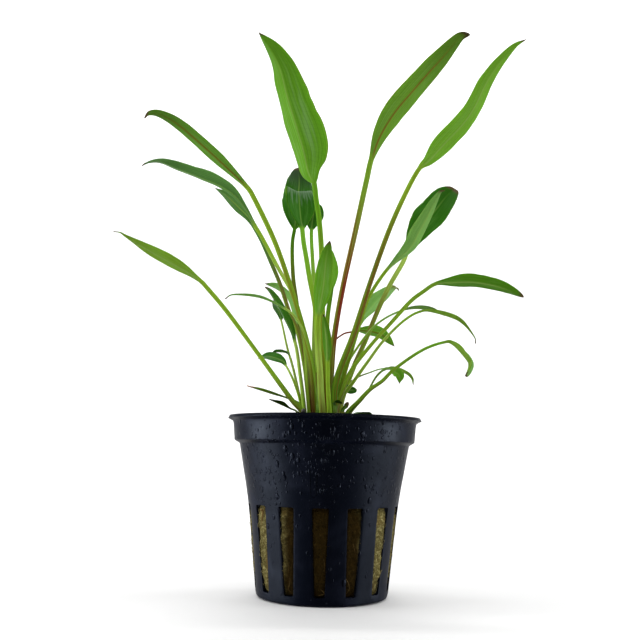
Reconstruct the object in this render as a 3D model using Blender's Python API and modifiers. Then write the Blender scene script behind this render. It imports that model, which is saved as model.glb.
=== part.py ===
"""Potted cryptocoryne: a slotted net pot, its mineral wool plug and a rosette of stalked leaves.

Modelled in metres with +Z up. The origin is the centre of the pot's flat base. The table of leaves
is written in millimetres, as seen from a viewer who stands in front of the pot, on the -Y side.
"""
import math
from collections import namedtuple

import bpy
import bmesh
from mathutils import Vector

MM = 0.001

# Pot, a pressed plastic net pot of the 5 cm size
RIM_DIAMETER = 55.0 * MM
POT_HEIGHT = 49.0 * MM
WALL = 0.9 * MM
FLANGE_THICKNESS = 1.0 * MM
COLLAR_TOP_RADIUS = 25.9 * MM
COLLAR_BOTTOM_RADIUS = 25.3 * MM
COLLAR_BOTTOM_Z = 42.2 * MM
BODY_TOP_RADIUS = 23.7 * MM
BODY_TOP_Z = 41.0 * MM
WAIST_RADIUS = 20.9 * MM
WAIST_Z = 25.2 * MM
FOOT_RADIUS = 18.3 * MM
FOOT_Z = 1.6 * MM
BASE_RADIUS = 17.0 * MM
FLOOR_THICKNESS = 1.2 * MM
INSIDE_FOOT_STEP = 0.5 * MM
INSIDE_FOOT_RISE = 0.8 * MM
POT_STEPS = 42
TURNED_MERGE = 0.00001

SLOT_COUNT = 14
SLOT_PHASE = math.radians(-2.3)
SLOT_TOP_WIDTH = 4.6 * MM
SLOT_BOTTOM_WIDTH = 2.8 * MM
SLOT_TOP_Z = 25.0 * MM
SLOT_BOTTOM_Z = 2.4 * MM
SLOT_CUTTER_REACH = 1.6 * MM
DRAIN_COUNT = 7
DRAIN_WIDTH = 2.4 * MM
DRAIN_INNER_RADIUS = 6.5 * MM
DRAIN_OUTER_RADIUS = 14.5 * MM
DRAIN_CUTTER_HEIGHT = 3 * FLOOR_THICKNESS

# Mineral wool plug, with an oval hollow on top where the rhizomes sit
GAP = 0.35 * MM
WOOL_TOP_Z = 45.6 * MM
HOLLOW_FLOOR_Z = 40.6 * MM
HOLLOW_CENTRE_Y = 1.5 * MM
HOLLOW_HALF_X = 8.8 * MM
HOLLOW_HALF_Y = 18.6 * MM
HOLLOW_STEPS = 24
WOOL_STEPS = 28
WOOL_RIM_BEVEL = 0.4 * MM
WOOL_COLLAR_RISE = 1.2 * MM
WOOL_SHOULDER_DROP = 0.2 * MM
WOOL_FOOT_RISE = 1.2 * MM
WOOL_FOOT_STEP = 1.0 * MM

# Rhizomes: short lying stems, one for each clump of leaf stalks. Each place is its middle across and
# back, and its half lengths across and back, in mm.
RHIZOME_TOP_Z = 44.3 * MM
RHIZOME_HALF_HEIGHT = 1.7 * MM
RHIZOME_STEPS = 12
RHIZOME_PLACES = {
    "rhizome_front": (-0.6, -9.6, 6.0, 4.1),
    "rhizome_middle": (-0.6, 0.2, 7.4, 4.6),
    "rhizome_back": (-0.8, 11.2, 5.6, 5.2),
}

# Viewer from whose place the leaf table is measured: across, distance in front, eye height
EYE = Vector((-1.95, -240.0, 38.75)) * MM

# Blade outlines: where the blade is widest, how fast it opens, how fast it closes
LANCE = (0.36, 0.60, 0.65)
NARROW = (0.45, 0.75, 0.80)
OVAL = (0.50, 0.50, 0.45)
BROAD = (0.25, 0.42, 0.76)
EGG = (0.38, 0.45, 0.55)
SPEAR = (0.36, 0.70, 1.40)
STRAP = (0.38, 0.58, 0.50)
TAPER = (0.24, 0.55, 0.75)
PADDLE = (0.50, 1.40, 0.60)
ROUND = (0.52, 0.42, 0.38)
DROP = (0.50, 0.55, 1.10)

RING_POINTS = 8
MIDRIB_POINT = 6
POINTS_PER_SPAN = 8
STALK_RINGS_AT_LEAST = 3
STALK_RING_EVERY = 20.0 * MM
LONG_BLADE = 30.0 * MM
LONG_BLADE_RINGS = [0.0, 0.06, 0.15, 0.28, 0.42, 0.56, 0.70, 0.83, 0.93, 1.0]
SHORT_BLADE_RINGS = [0.0, 0.12, 0.30, 0.52, 0.75, 0.91, 1.0]
DIRECTION_STEP = 0.01
BLADE_HALF_THICKNESS = 0.18 * MM
MIDRIB_DEPTH = 0.25 * MM
TIP_HALF_WIDTH = 0.12 * MM
TIP_HALF_THICKNESS = 0.10 * MM
SHEATH_TAPER = 1.6
SHEATH_MAX_THICKNESS = 0.9 * MM
NECK_SHARE = 0.15

# One row for each leaf. stalk and blade are places along its middle line as (across, up) in mm,
# where the line of sight meets the upright plane through the pot's axis. near is how far the leaf
# stands in front of that plane at its foot, at the neck of the blade and at its tip, in mm. turn
# twists the blade about its midrib at the neck and at the tip, in degrees, and fold is how far each
# half of the blade is raised. stalk_radius is half the width at the foot and at the neck, in mm.
Leaf = namedtuple("Leaf", "name stalk blade near width fold turn stalk_radius form")
LEAVES = [
    Leaf("leaf_tall_front",
         stalk=[(0.5, 45.5), (0.5, 50.75), (-0.5, 62.75), (-1.25, 77.25), (-1.75, 95.25),
                (-2.75, 107.25), (-3.75, 113.5), (-4.5, 118.75)],
         blade=[(-6.25, 122.75), (-7.75, 129), (-10.75, 138.5), (-13.25, 146.25), (-15.5, 154.5),
                (-18.5, 160.75), (-22.5, 166.5)],
         near=(9.25, 16, 38), width=12.2, fold=28, turn=(0, 0),
         stalk_radius=(1.1, 0.75), form=BROAD),
    Leaf("leaf_upper_left",
         stalk=[(-2.25, 45.5), (-2.75, 50.75), (-4.25, 65.25), (-7.5, 77.5), (-11.25, 88.75),
                (-16, 101), (-22.25, 113.5), (-24.75, 117.25)],
         blade=[(-30.5, 122.75), (-38, 129.5), (-46, 136.25), (-51.5, 139.25), (-54.75, 139.5),
                (-56.25, 138)],
         near=(4.25, 15, 30), width=3.6, fold=22, turn=(50, 40),
         stalk_radius=(1.2, 0.7), form=STRAP),
    Leaf("leaf_left_folded",
         stalk=[(-3.25, 45.5), (-4, 50.5), (-5, 59.75), (-6.25, 71.25), (-8.5, 80),
                (-10.5, 85.75), (-14.5, 92.5), (-19.5, 101.5), (-21.5, 104.75)],
         blade=[(-24.5, 109.75), (-28, 114), (-32.5, 117), (-38.75, 119.5), (-45.5, 122),
                (-50.5, 124), (-54, 124), (-56.25, 123)],
         near=(1.75, -12.75, -30), width=6.4, fold=30, turn=(-45, -30),
         stalk_radius=(1, 0.62), form=PADDLE),
    Leaf("leaf_left_behind",
         stalk=[(-3.5, 45.5), (-3.75, 50.5), (-5.25, 60), (-8, 72.75), (-11, 79.75),
                (-13.75, 87.5), (-16.75, 94.25), (-19.5, 100.25), (-21.75, 104.25)],
         blade=[(-23.75, 107.5), (-27.5, 111.25), (-31, 114.5), (-34, 116.5)],
         near=(-2.5, -25.5, -34), width=4, fold=20, turn=(-50, -40),
         stalk_radius=(1, 0.62), form=NARROW),
    Leaf("leaf_far_left",
         stalk=[(-4.25, 45.5), (-6.5, 50.75), (-9.25, 53.75), (-12.75, 58.25), (-21, 69),
                (-29.5, 79.75), (-35.5, 86.5), (-37.25, 88.25)],
         blade=[(-41.5, 91), (-46.5, 93.75), (-51.75, 96.5), (-59.5, 101), (-61.5, 102.25),
                (-63.5, 102.5)],
         near=(9.5, 16.25, 30), width=3.8, fold=18, turn=(50, 35),
         stalk_radius=(1.25, 0.62), form=SPEAR),
    Leaf("leaf_back_oval",
         stalk=[(-4, 45.5), (-4.5, 54), (-5.75, 62.5), (-7.75, 74.25), (-9, 83), (-10, 89.25),
                (-10.5, 96.25), (-10.5, 101), (-10, 104.5)],
         blade=[(-9.75, 109.25), (-9.25, 114.5), (-9, 119.5), (-9.5, 123.25)],
         near=(-15.5, -36, -52), width=11, fold=12, turn=(0, 0), stalk_radius=(1, 0.62), form=EGG),
    Leaf("leaf_back_rounded",
         stalk=[(-1, 45.5), (-1.5, 50.75), (-2, 59.75), (-2.5, 71.5), (-3.25, 80.25),
                (-5.25, 89.75), (-6.25, 95.25), (-7.25, 100.5), (-7.75, 104.5)],
         blade=[(-8.5, 109.25), (-9.25, 116), (-9.75, 111.75)],
         near=(-13.5, -26, -33.5), width=10.6, fold=14, turn=(0, 0),
         stalk_radius=(1.1, 0.8), form=OVAL),
    Leaf("leaf_back_small",
         stalk=[(-2, 45.5), (-2.25, 50.75), (-3.25, 64), (-3.5, 71.5), (-3.5, 79.5), (-4, 89),
                (-4.5, 95.25), (-5, 104.25)],
         blade=[(-4, 112.5)],
         near=(-16.75, -30, -34), width=7, fold=16, turn=(0, 0),
         stalk_radius=(0.95, 0.6), form=OVAL),
    Leaf("leaf_tall_right",
         stalk=[(1.25, 45.5), (1.25, 54.25), (1.5, 61.5), (2.25, 72.75), (4.5, 87.25),
                (8, 104.25), (11, 119.25), (12.5, 126.5)],
         blade=[(15, 133.75), (19.25, 141.25), (24.25, 147.75), (29.5, 154.25), (33.5, 159),
                (37, 163.5), (39.75, 166.5), (42.5, 167.25)],
         near=(0.75, 12.5, 26), width=6.6, fold=18, turn=(-38, -35),
         stalk_radius=(1.15, 0.8), form=STRAP),
    Leaf("leaf_far_right_tall",
         stalk=[(2.5, 45.75), (2.5, 51.75), (3.25, 60.5), (7.75, 73.25), (12.25, 88),
                (18, 104.75), (23.25, 117), (27, 124)],
         blade=[(29.75, 126.5), (34.75, 132.25), (40.25, 138.5), (43.75, 144), (47.25, 151.5),
                (51.75, 158.5), (56.25, 163.75), (59.75, 166)],
         near=(6.75, 17.25, 36), width=5.8, fold=14, turn=(-42, -30),
         stalk_radius=(1.6, 0.66), form=TAPER),
    Leaf("leaf_right_narrow",
         stalk=[(2.75, 45.75), (3.5, 52.75), (5, 60.5), (7.5, 69.25), (10, 77.75),
                (12.25, 84.5), (17.5, 92.75)],
         blade=[(24, 99.25), (26.5, 103.75), (29, 108.5), (32.75, 116), (34.5, 117.25)],
         near=(-1.25, 8.5, 16), width=4.4, fold=24, turn=(-40, -30),
         stalk_radius=(0.9, 0.52), form=NARROW),
    Leaf("leaf_right_dark",
         stalk=[(4, 45.75), (4.5, 53.25), (7.75, 63.25), (11.25, 71.5), (14.5, 79.75),
                (18, 87.5), (22, 94.75), (23.5, 98.5)],
         blade=[(26.75, 104.5), (31, 110), (34.75, 115), (37.5, 117.75)],
         near=(-7, -21.5, -34), width=10, fold=16, turn=(55, 50),
         stalk_radius=(1.05, 0.75), form=ROUND),
    Leaf("leaf_right_arching",
         stalk=[(2.75, 45.75), (3, 52.25), (4.5, 56), (7, 62.5), (12.75, 70.25), (18.5, 76.75),
                (24.25, 83.25), (28, 86.25), (31.75, 88.75)],
         blade=[(36.25, 89.25), (42.75, 89.5), (49.25, 88.5), (53.75, 87), (57.5, 85.25)],
         near=(3.25, 7, 10), width=4.6, fold=18, turn=(-50, -40),
         stalk_radius=(1.5, 0.58), form=STRAP),
    Leaf("leaf_right_olive",
         stalk=[(2.75, 45.75), (3, 55.25), (5.75, 63.5), (8, 68), (13.75, 75.75),
                (20.75, 80.25)],
         blade=[(27.5, 81.25), (34.75, 79.25)],
         near=(-6.25, -11, -18), width=3.6, fold=24, turn=(0, 0),
         stalk_radius=(0.65, 0.42), form=NARROW),
    Leaf("leaf_right_hooked",
         stalk=[(3.5, 45.75), (4.5, 54.25), (8, 59.75), (12.5, 66.25), (15.5, 70.5),
                (19, 74.5), (22.75, 78), (26.5, 80.25)],
         blade=[(30.25, 80.5), (38.25, 78), (42.75, 73.5), (43.25, 71.25)],
         near=(-3.5, -4.75, -10), width=3, fold=30, turn=(0, 0),
         stalk_radius=(0.9, 0.52), form=SPEAR),
    Leaf("leaf_right_drooping",
         stalk=[(4.25, 45.75), (6.25, 50.5), (9.5, 54), (12.75, 57.5), (16.25, 60),
                (19.75, 63.5), (27.5, 69), (33.75, 71.5)],
         blade=[(36.75, 71), (40.75, 66.5), (41.25, 64.5), (40.25, 61.75)],
         near=(8.5, 12.25, 18), width=5, fold=24, turn=(0, 0), stalk_radius=(1.4, 0.52), form=OVAL),
    Leaf("leaf_low_right_thin",
         stalk=[(2, 45.5), (3.75, 53.25), (5.5, 57.75), (9, 60.75), (12.5, 62.25), (16.25, 63.5)],
         blade=[(20, 63.25), (23, 62.25), (24.75, 60.75), (25.25, 59)],
         near=(-9, -15.5, -24), width=2.6, fold=30, turn=(0, 0),
         stalk_radius=(0.5, 0.3), form=TAPER),
    Leaf("leaf_low_right_small",
         stalk=[(5, 45.75), (7.25, 50.75), (11.25, 55.5), (14.25, 60.75), (16.5, 63),
                (18.5, 63.5)],
         blade=[(20, 62.5), (21.25, 61.5), (21.25, 59.25)],
         near=(0.5, 2.5, 4.5), width=3, fold=20, turn=(60, 80),
         stalk_radius=(0.6, 0.36), form=DROP),
    Leaf("leaf_mid_right",
         stalk=[(0.75, 45.5), (0.75, 54), (1, 64.25), (2, 70.5), (4.75, 73.25), (7.5, 74)],
         blade=[(10.5, 74.5), (15.75, 73.5), (19.75, 70)],
         near=(-12.5, -20, -30), width=4.3, fold=16, turn=(-45, -40),
         stalk_radius=(0.6, 0.3), form=NARROW),
    Leaf("leaf_mid_right_curled",
         stalk=[(1.75, 45.5), (2.5, 54.25), (4.75, 62.75), (7.25, 69.75), (9.5, 75.75)],
         blade=[(10.75, 78.75), (15.25, 83.75), (19.5, 87.25), (21, 86.5)],
         near=(-11, -17, -30), width=6, fold=18, turn=(30, 30),
         stalk_radius=(0.7, 0.42), form=LANCE),
    Leaf("leaf_centre_bright",
         stalk=[(-0.5, 45.5), (-0.75, 50.75), (-1.25, 56), (-1.75, 63.25), (-2.5, 70.75),
                (-2.5, 78.5)],
         blade=[(-1.25, 86.75), (-0.5, 95.75), (0.5, 101)],
         near=(11.5, 15, 25), width=5, fold=14, turn=(0, 0), stalk_radius=(1, 0.8), form=LANCE),
    Leaf("leaf_centre_dark",
         stalk=[(0, 45.5), (0.25, 50.75), (0, 59.75), (0.25, 70), (0.25, 78), (1.25, 86.75)],
         blade=[(1.25, 90.25), (0.5, 98.75)],
         near=(-2.25, -7, -14), width=4.2, fold=20, turn=(0, 0),
         stalk_radius=(0.8, 0.65), form=LANCE),
    Leaf("leaf_centre_low",
         stalk=[(1.5, 45.5), (1.25, 50.75), (0.75, 57.75), (0.5, 65)],
         blade=[(0, 72.25), (-1, 79)],
         near=(13.5, 14.5, 18.5), width=2.7, fold=14, turn=(0, 0),
         stalk_radius=(0.8, 0.55), form=LANCE),
    Leaf("leaf_inner_left_dark",
         stalk=[(-5.25, 45.5), (-6, 52.75), (-7.25, 61.25), (-9, 70.75)],
         blade=[(-12.5, 78), (-16.5, 84.75), (-18.25, 86.75)],
         near=(3, -2, -3), width=5.4, fold=20, turn=(0, 0),
         stalk_radius=(0.8, 0.6), form=ROUND),
    Leaf("leaf_inner_left_bright",
         stalk=[(-4.25, 45.5), (-5, 54), (-6.5, 65), (-8.25, 73.75)],
         blade=[(-10.5, 81.5), (-12.25, 84.5), (-15, 86.75), (-18.25, 87.75)],
         near=(-11, -17.5, -24), width=4.6, fold=20, turn=(55, 55),
         stalk_radius=(0.6, 0.42), form=NARROW),
    Leaf("leaf_inner_left_grey",
         stalk=[(-6.25, 45.5), (-7, 52.75), (-9.25, 62.5), (-11.25, 69), (-13.25, 77)],
         blade=[(-15.25, 82.75)],
         near=(-10.5, -23.25, -30), width=4.2, fold=20, turn=(0, 0),
         stalk_radius=(0.55, 0.34), form=OVAL),
    Leaf("leaf_left_thin_arch",
         stalk=[(-1.5, 45.5), (-2, 50.75), (-2.5, 57.5), (-3.5, 63.75), (-4.75, 68.5),
                (-6.5, 73.75), (-9.25, 78.25), (-12.25, 80.5)],
         blade=[(-19.25, 83.5), (-27.25, 84.25), (-29.75, 83)],
         near=(6.75, 10, 14), width=1.8, fold=30, turn=(0, 0),
         stalk_radius=(0.55, 0.4), form=NARROW),
    Leaf("leaf_low_left_spotted",
         stalk=[(-6.25, 45.5), (-7, 53), (-9, 59), (-11.5, 63.75)],
         blade=[(-13, 65.25), (-16.75, 66.25), (-19.5, 65.75)],
         near=(-1.5, -6.25, -14), width=3.6, fold=18, turn=(-50, -40),
         stalk_radius=(0.6, 0.34), form=OVAL),
    Leaf("leaf_low_left_edge_on",
         stalk=[(-5.75, 45.5), (-6.5, 52), (-8.75, 60.5), (-10.5, 66.75)],
         blade=[(-13.5, 67.75), (-15.75, 67.25)],
         near=(-7.75, -10.75, -13.5), width=2.6, fold=30, turn=(0, 0),
         stalk_radius=(0.5, 0.3), form=NARROW),
    Leaf("leaf_low_left_pink",
         stalk=[(-5.25, 47.25), (-7.25, 52.75), (-10.75, 54.5)],
         blade=[(-14.75, 55.5), (-22.5, 57.75)],
         near=(7, 6, 13.75), width=2, fold=30, turn=(0, 0), stalk_radius=(0.6, 0.35), form=NARROW),
    Leaf("leaf_low_left_dark",
         stalk=[(-6, 46.25), (-7.75, 50.5), (-9.75, 51.5)],
         blade=[(-16, 54)],
         near=(5.25, 4.75, 8), width=3, fold=26, turn=(0, 0),
         stalk_radius=(0.7, 0.35), form=NARROW),
    Leaf("leaf_crown_right",
         stalk=[(1.75, 45.5), (2, 54.5), (4.5, 57.75)],
         blade=[(7.25, 57), (9, 57.25)],
         near=(-4.75, -3.75, -5.25), width=2.8, fold=12, turn=(65, 65),
         stalk_radius=(0.6, 0.5), form=OVAL),
    Leaf("leaf_crown_folded",
         stalk=[(2.75, 45.75), (2.75, 52.5)],
         blade=[(3, 53.5), (5, 53.25)],
         near=(10.5, 9.75, 10), width=2.6, fold=24, turn=(0, 0),
         stalk_radius=(0.7, 0.55), form=OVAL),
    Leaf("old_sheath_right",
         stalk=[(4, 45.75), (5, 50.75)],
         blade=[(6, 52.25), (6.75, 53.5)],
         near=(12.5, 10, 10.75), width=2.3, fold=10, turn=(0, 0),
         stalk_radius=(1, 0.85), form=OVAL),
    Leaf("leaf_low_back",
         stalk=[(5.25, 45.75), (7.25, 49.5)],
         blade=[(11.25, 50.5), (13.25, 49.75)],
         near=(-9.75, -11, -16), width=3.4, fold=16, turn=(0, 0),
         stalk_radius=(0.7, 0.5), form=OVAL),
    Leaf("scale_leaf_centre",
         stalk=[(-2, 45.5), (-2, 52.75)],
         blade=[(-2.5, 58.25), (-2.75, 62)],
         near=(8.5, 9, 9), width=1, fold=10, turn=(0, 0), stalk_radius=(0.5, 0.45), form=OVAL),
]


def clear_scene():
    for item in list(bpy.data.objects):
        bpy.data.objects.remove(item, do_unlink=True)


def new_collection(name):
    collection = bpy.data.collections.new(name)
    bpy.context.scene.collection.children.link(collection)
    return collection


def make_material(name, colour, roughness, metallic=0.0):
    material = bpy.data.materials.new(name)
    material.use_nodes = True
    material.diffuse_color = (*colour, 1.0)
    shader = material.node_tree.nodes["Principled BSDF"]
    shader.inputs["Base Color"].default_value = (*colour, 1.0)
    shader.inputs["Roughness"].default_value = roughness
    shader.inputs["Metallic"].default_value = metallic
    return material


def link_mesh(name, mesh, collection, material=None):
    item = bpy.data.objects.new(name, mesh)
    collection.objects.link(item)
    if material is not None:
        mesh.materials.append(material)
    return item


def mesh_from_bmesh(name, bm):
    mesh = bpy.data.meshes.new(name)
    bm.to_mesh(mesh)
    bm.free()
    return mesh


def turned(name, profile, steps, collection, material):
    """Turn a profile of (radius, height), read from the outer top down and round to the axis."""
    bm = bmesh.new()
    places = [bm.verts.new((radius, 0.0, height)) for radius, height in profile]
    for first, second in zip(places, places[1:]):
        bm.edges.new((first, second))
    item = link_mesh(name, mesh_from_bmesh(name, bm), collection, material)
    screw = item.modifiers.new("turn", "SCREW")
    screw.steps = steps
    screw.render_steps = steps
    screw.use_merge_vertices = True
    screw.merge_threshold = TURNED_MERGE
    screw.use_smooth_shade = False
    return item


def cut(item, cutter):
    cutter.hide_render = True
    cutter.display_type = "WIRE"
    boolean = item.modifiers.new("cut " + cutter.name, "BOOLEAN")
    boolean.operation = "DIFFERENCE"
    boolean.solver = "EXACT"
    boolean.object = cutter


def wall_radius(height):
    """Outer radius of the pot's tapered body at a height."""
    if height >= WAIST_Z:
        share = (height - WAIST_Z) / (BODY_TOP_Z - WAIST_Z)
        return WAIST_RADIUS + share * (BODY_TOP_RADIUS - WAIST_RADIUS)
    share = (height - FOOT_Z) / (WAIST_Z - FOOT_Z)
    return FOOT_RADIUS + share * (WAIST_RADIUS - FOOT_RADIUS)


def pot_profile():
    rim = RIM_DIAMETER / 2
    flange_z = POT_HEIGHT - FLANGE_THICKNESS
    outside = [
        (rim, POT_HEIGHT),
        (rim, flange_z),
        (COLLAR_TOP_RADIUS, flange_z),
        (COLLAR_BOTTOM_RADIUS, COLLAR_BOTTOM_Z),
        (BODY_TOP_RADIUS, BODY_TOP_Z),
        (WAIST_RADIUS, WAIST_Z),
        (FOOT_RADIUS, FOOT_Z),
        (BASE_RADIUS, 0.0),
        (0.0, 0.0),
    ]
    inside = [
        (0.0, FLOOR_THICKNESS),
        (FOOT_RADIUS - WALL - INSIDE_FOOT_STEP, FLOOR_THICKNESS),
        (FOOT_RADIUS - WALL, FOOT_Z + INSIDE_FOOT_RISE),
        (WAIST_RADIUS - WALL, WAIST_Z),
        (BODY_TOP_RADIUS - WALL, BODY_TOP_Z + WALL),
        (COLLAR_BOTTOM_RADIUS - WALL, COLLAR_BOTTOM_Z + WALL),
        (COLLAR_TOP_RADIUS - WALL, POT_HEIGHT),
        (rim, POT_HEIGHT),
    ]
    return outside + inside


def tapered_slot(bm, angle):
    """A wedge through the wall, wide at the top, leaning with it, at one place round the pot."""
    outward = Vector((math.sin(angle), -math.cos(angle), 0.0))
    sideways = Vector((math.cos(angle), math.sin(angle), 0.0))
    made = bmesh.ops.create_cube(bm, size=1.0)["verts"]
    for vert in made:
        top = vert.co.z > 0
        height = SLOT_TOP_Z if top else SLOT_BOTTOM_Z
        width = SLOT_TOP_WIDTH if top else SLOT_BOTTOM_WIDTH
        middle = wall_radius(height) - WALL / 2
        reach = middle + math.copysign(SLOT_CUTTER_REACH, vert.co.y)
        place = outward * reach + sideways * (width * vert.co.x)
        vert.co = Vector((place.x, place.y, height))


def drain_slot(bm, angle):
    """A straight slot through the pot's floor, lying along a radius."""
    outward = Vector((math.sin(angle), -math.cos(angle), 0.0))
    sideways = Vector((math.cos(angle), math.sin(angle), 0.0))
    middle = (DRAIN_INNER_RADIUS + DRAIN_OUTER_RADIUS) / 2
    length = DRAIN_OUTER_RADIUS - DRAIN_INNER_RADIUS
    made = bmesh.ops.create_cube(bm, size=1.0)["verts"]
    for vert in made:
        place = outward * (middle + length * vert.co.y) + sideways * (DRAIN_WIDTH * vert.co.x)
        height = FLOOR_THICKNESS / 2 + DRAIN_CUTTER_HEIGHT * vert.co.z
        vert.co = Vector((place.x, place.y, height))


def make_pot(parts, cutters, plastic):
    pot = turned("net_pot", pot_profile(), POT_STEPS, parts, plastic)
    bm = bmesh.new()
    for index in range(SLOT_COUNT):
        tapered_slot(bm, SLOT_PHASE + index * math.tau / SLOT_COUNT)
    for index in range(DRAIN_COUNT):
        drain_slot(bm, SLOT_PHASE + index * math.tau / DRAIN_COUNT)
    bmesh.ops.recalc_face_normals(bm, faces=bm.faces)
    slots = link_mesh("slot_cutter", mesh_from_bmesh("slot_cutter", bm), cutters)
    cut(pot, slots)


def make_wool(parts, cutters, wool):
    inset = WALL + GAP
    bottom = FLOOR_THICKNESS + GAP
    profile = [
        (0.0, WOOL_TOP_Z),
        (COLLAR_BOTTOM_RADIUS - inset - WOOL_RIM_BEVEL, WOOL_TOP_Z),
        (COLLAR_BOTTOM_RADIUS - inset, COLLAR_BOTTOM_Z + WALL + WOOL_COLLAR_RISE),
        (BODY_TOP_RADIUS - inset, BODY_TOP_Z + WALL - WOOL_SHOULDER_DROP),
        (WAIST_RADIUS - inset, WAIST_Z),
        (FOOT_RADIUS - inset, FOOT_Z + WOOL_FOOT_RISE),
        (FOOT_RADIUS - inset - WOOL_FOOT_STEP, bottom),
        (0.0, bottom),
    ]
    plug = turned("mineral_wool", profile, WOOL_STEPS, parts, wool)
    bm = bmesh.new()
    depth = 2 * (WOOL_TOP_Z - HOLLOW_FLOOR_Z)
    bmesh.ops.create_cone(bm, cap_ends=True, segments=HOLLOW_STEPS, radius1=1.0, radius2=1.0,
                          depth=depth)
    for vert in bm.verts:
        vert.co.x *= HOLLOW_HALF_X
        vert.co.y = vert.co.y * HOLLOW_HALF_Y + HOLLOW_CENTRE_Y
        vert.co.z += WOOL_TOP_Z
    cut(plug, link_mesh("hollow_cutter", mesh_from_bmesh("hollow_cutter", bm), cutters))


def make_rhizome(name, place, parts, stem):
    across, back, half_x, half_y = (value * MM for value in place)
    bm = bmesh.new()
    bmesh.ops.create_uvsphere(bm, u_segments=RHIZOME_STEPS, v_segments=RHIZOME_STEPS // 2,
                              radius=1.0)
    for vert in bm.verts:
        vert.co.x = across + vert.co.x * half_x
        vert.co.y = back + vert.co.y * half_y
        vert.co.z = RHIZOME_TOP_Z - RHIZOME_HALF_HEIGHT + vert.co.z * RHIZOME_HALF_HEIGHT
    item = link_mesh(name, mesh_from_bmesh(name, bm), parts, stem)
    item.data.shade_smooth()


def ease(value):
    value = min(max(value, 0.0), 1.0)
    return value * value * (3.0 - 2.0 * value)


def curve_through(points):
    """A smooth line through the points, with POINTS_PER_SPAN places from each to the next."""
    ends = [2 * points[0] - points[1], *points, 2 * points[-1] - points[-2]]
    line = []
    for a, b, c, d in zip(ends, ends[1:], ends[2:], ends[3:]):
        for step in range(POINTS_PER_SPAN):
            t = step / POINTS_PER_SPAN
            line.append(0.5 * (2 * b + (c - a) * t + (2 * a - 5 * b + 4 * c - d) * t * t
                               + (3 * b - a - 3 * c + d) * t * t * t))
    line.append(points[-1].copy())
    return line


def running_length(line):
    lengths = [0.0]
    for first, second in zip(line, line[1:]):
        lengths.append(lengths[-1] + (second - first).length)
    return lengths


def leaf_line(leaf):
    """The leaf's middle line in space, its running length, and the length at the neck."""
    flat = [Vector((across, 0.0, up)) * MM for across, up in leaf.stalk + leaf.blade]
    line = curve_through(flat)
    lengths = running_length(line)
    neck_index = (len(leaf.stalk) - 1) * POINTS_PER_SPAN
    neck_share = lengths[neck_index] / lengths[-1]
    foot, neck, tip = (value * MM for value in leaf.near)
    bend = ((tip - foot) - (neck - foot) / neck_share) / (1.0 - neck_share)
    slope = (neck - foot) / neck_share - bend * neck_share
    distance = -EYE.y
    placed = []
    for point, length in zip(line, lengths):
        share = length / lengths[-1]
        near = foot + slope * share + bend * share * share
        placed.append(EYE + (point - EYE) * ((distance - near) / distance))
    lengths = running_length(placed)
    return placed, lengths, lengths[neck_index]


def point_at(line, lengths, wanted):
    for index in range(1, len(line)):
        if lengths[index] >= wanted:
            span = lengths[index] - lengths[index - 1]
            share = (wanted - lengths[index - 1]) / span
            return line[index - 1].lerp(line[index], share)
    return line[-1].copy()


def leaf_frame(leaf, line, lengths, wanted, along, foot):
    """Directions across the leaf and out of its upper side at one place."""
    step = lengths[-1] * DIRECTION_STEP
    ahead = point_at(line, lengths, min(wanted + step, lengths[-1]))
    behind = point_at(line, lengths, max(wanted - step, 0.0))
    tangent = Vector((0.0, 0.0, 1.0)) if foot else (ahead - behind).normalized()
    heading = line[-1] - line[0]
    heading.z = 0.0
    heading.normalize()
    upper = Vector((0.0, 0.0, tangent.dot(heading))) - heading * tangent.z
    upper = (upper - tangent * upper.dot(tangent)).normalized()
    across = tangent.cross(upper)
    blade_share = max(along, 0.0)
    turn = math.radians(leaf.turn[0] + (leaf.turn[1] - leaf.turn[0]) * blade_share)
    turn *= ease(2.0 * (along + 1.0) - 1.0) if along < 0 else 1.0
    upper = upper * math.cos(turn) + across * math.sin(turn)
    return tangent.cross(upper), upper


def leaf_section(leaf, along):
    """Half width, half thickness and blade share at a place: along is -1 at the foot, 0 at the
    neck and 1 at the tip."""
    foot_radius, neck_radius = (value * MM for value in leaf.stalk_radius)
    if along < 0:
        sheath = (-along) ** SHEATH_TAPER
        half_width = neck_radius + (foot_radius - neck_radius) * sheath
        thick = max(neck_radius, min(foot_radius, SHEATH_MAX_THICKNESS))
        return half_width, neck_radius + (thick - neck_radius) * sheath, 0.0
    widest, opening, closing = leaf.form
    if along < widest:
        open_share = math.sin(math.pi / 2 * along / widest) ** (2 * opening)
    else:
        open_share = math.cos(math.pi / 2 * min(1.0, (along - widest) / (1 - widest)))
        open_share = max(open_share, 0.0) ** closing
    half_width = neck_radius * (1 - along) * (1 - open_share) + leaf.width * MM / 2 * open_share
    blade = ease(along / NECK_SHARE)
    half_thickness = neck_radius * (1 - blade) + BLADE_HALF_THICKNESS * blade
    if along == 1.0:
        return TIP_HALF_WIDTH, TIP_HALF_THICKNESS, blade
    return half_width, half_thickness, blade


def leaf_places(stalk_length, blade_length):
    """Where the rings of a leaf stand, from -1 at the foot through 0 at the neck to 1."""
    stalk_rings = STALK_RINGS_AT_LEAST + round(stalk_length / STALK_RING_EVERY)
    stalk = [-1.0 + index / stalk_rings for index in range(stalk_rings)]
    return stalk + (LONG_BLADE_RINGS if blade_length > LONG_BLADE else SHORT_BLADE_RINGS)


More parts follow.
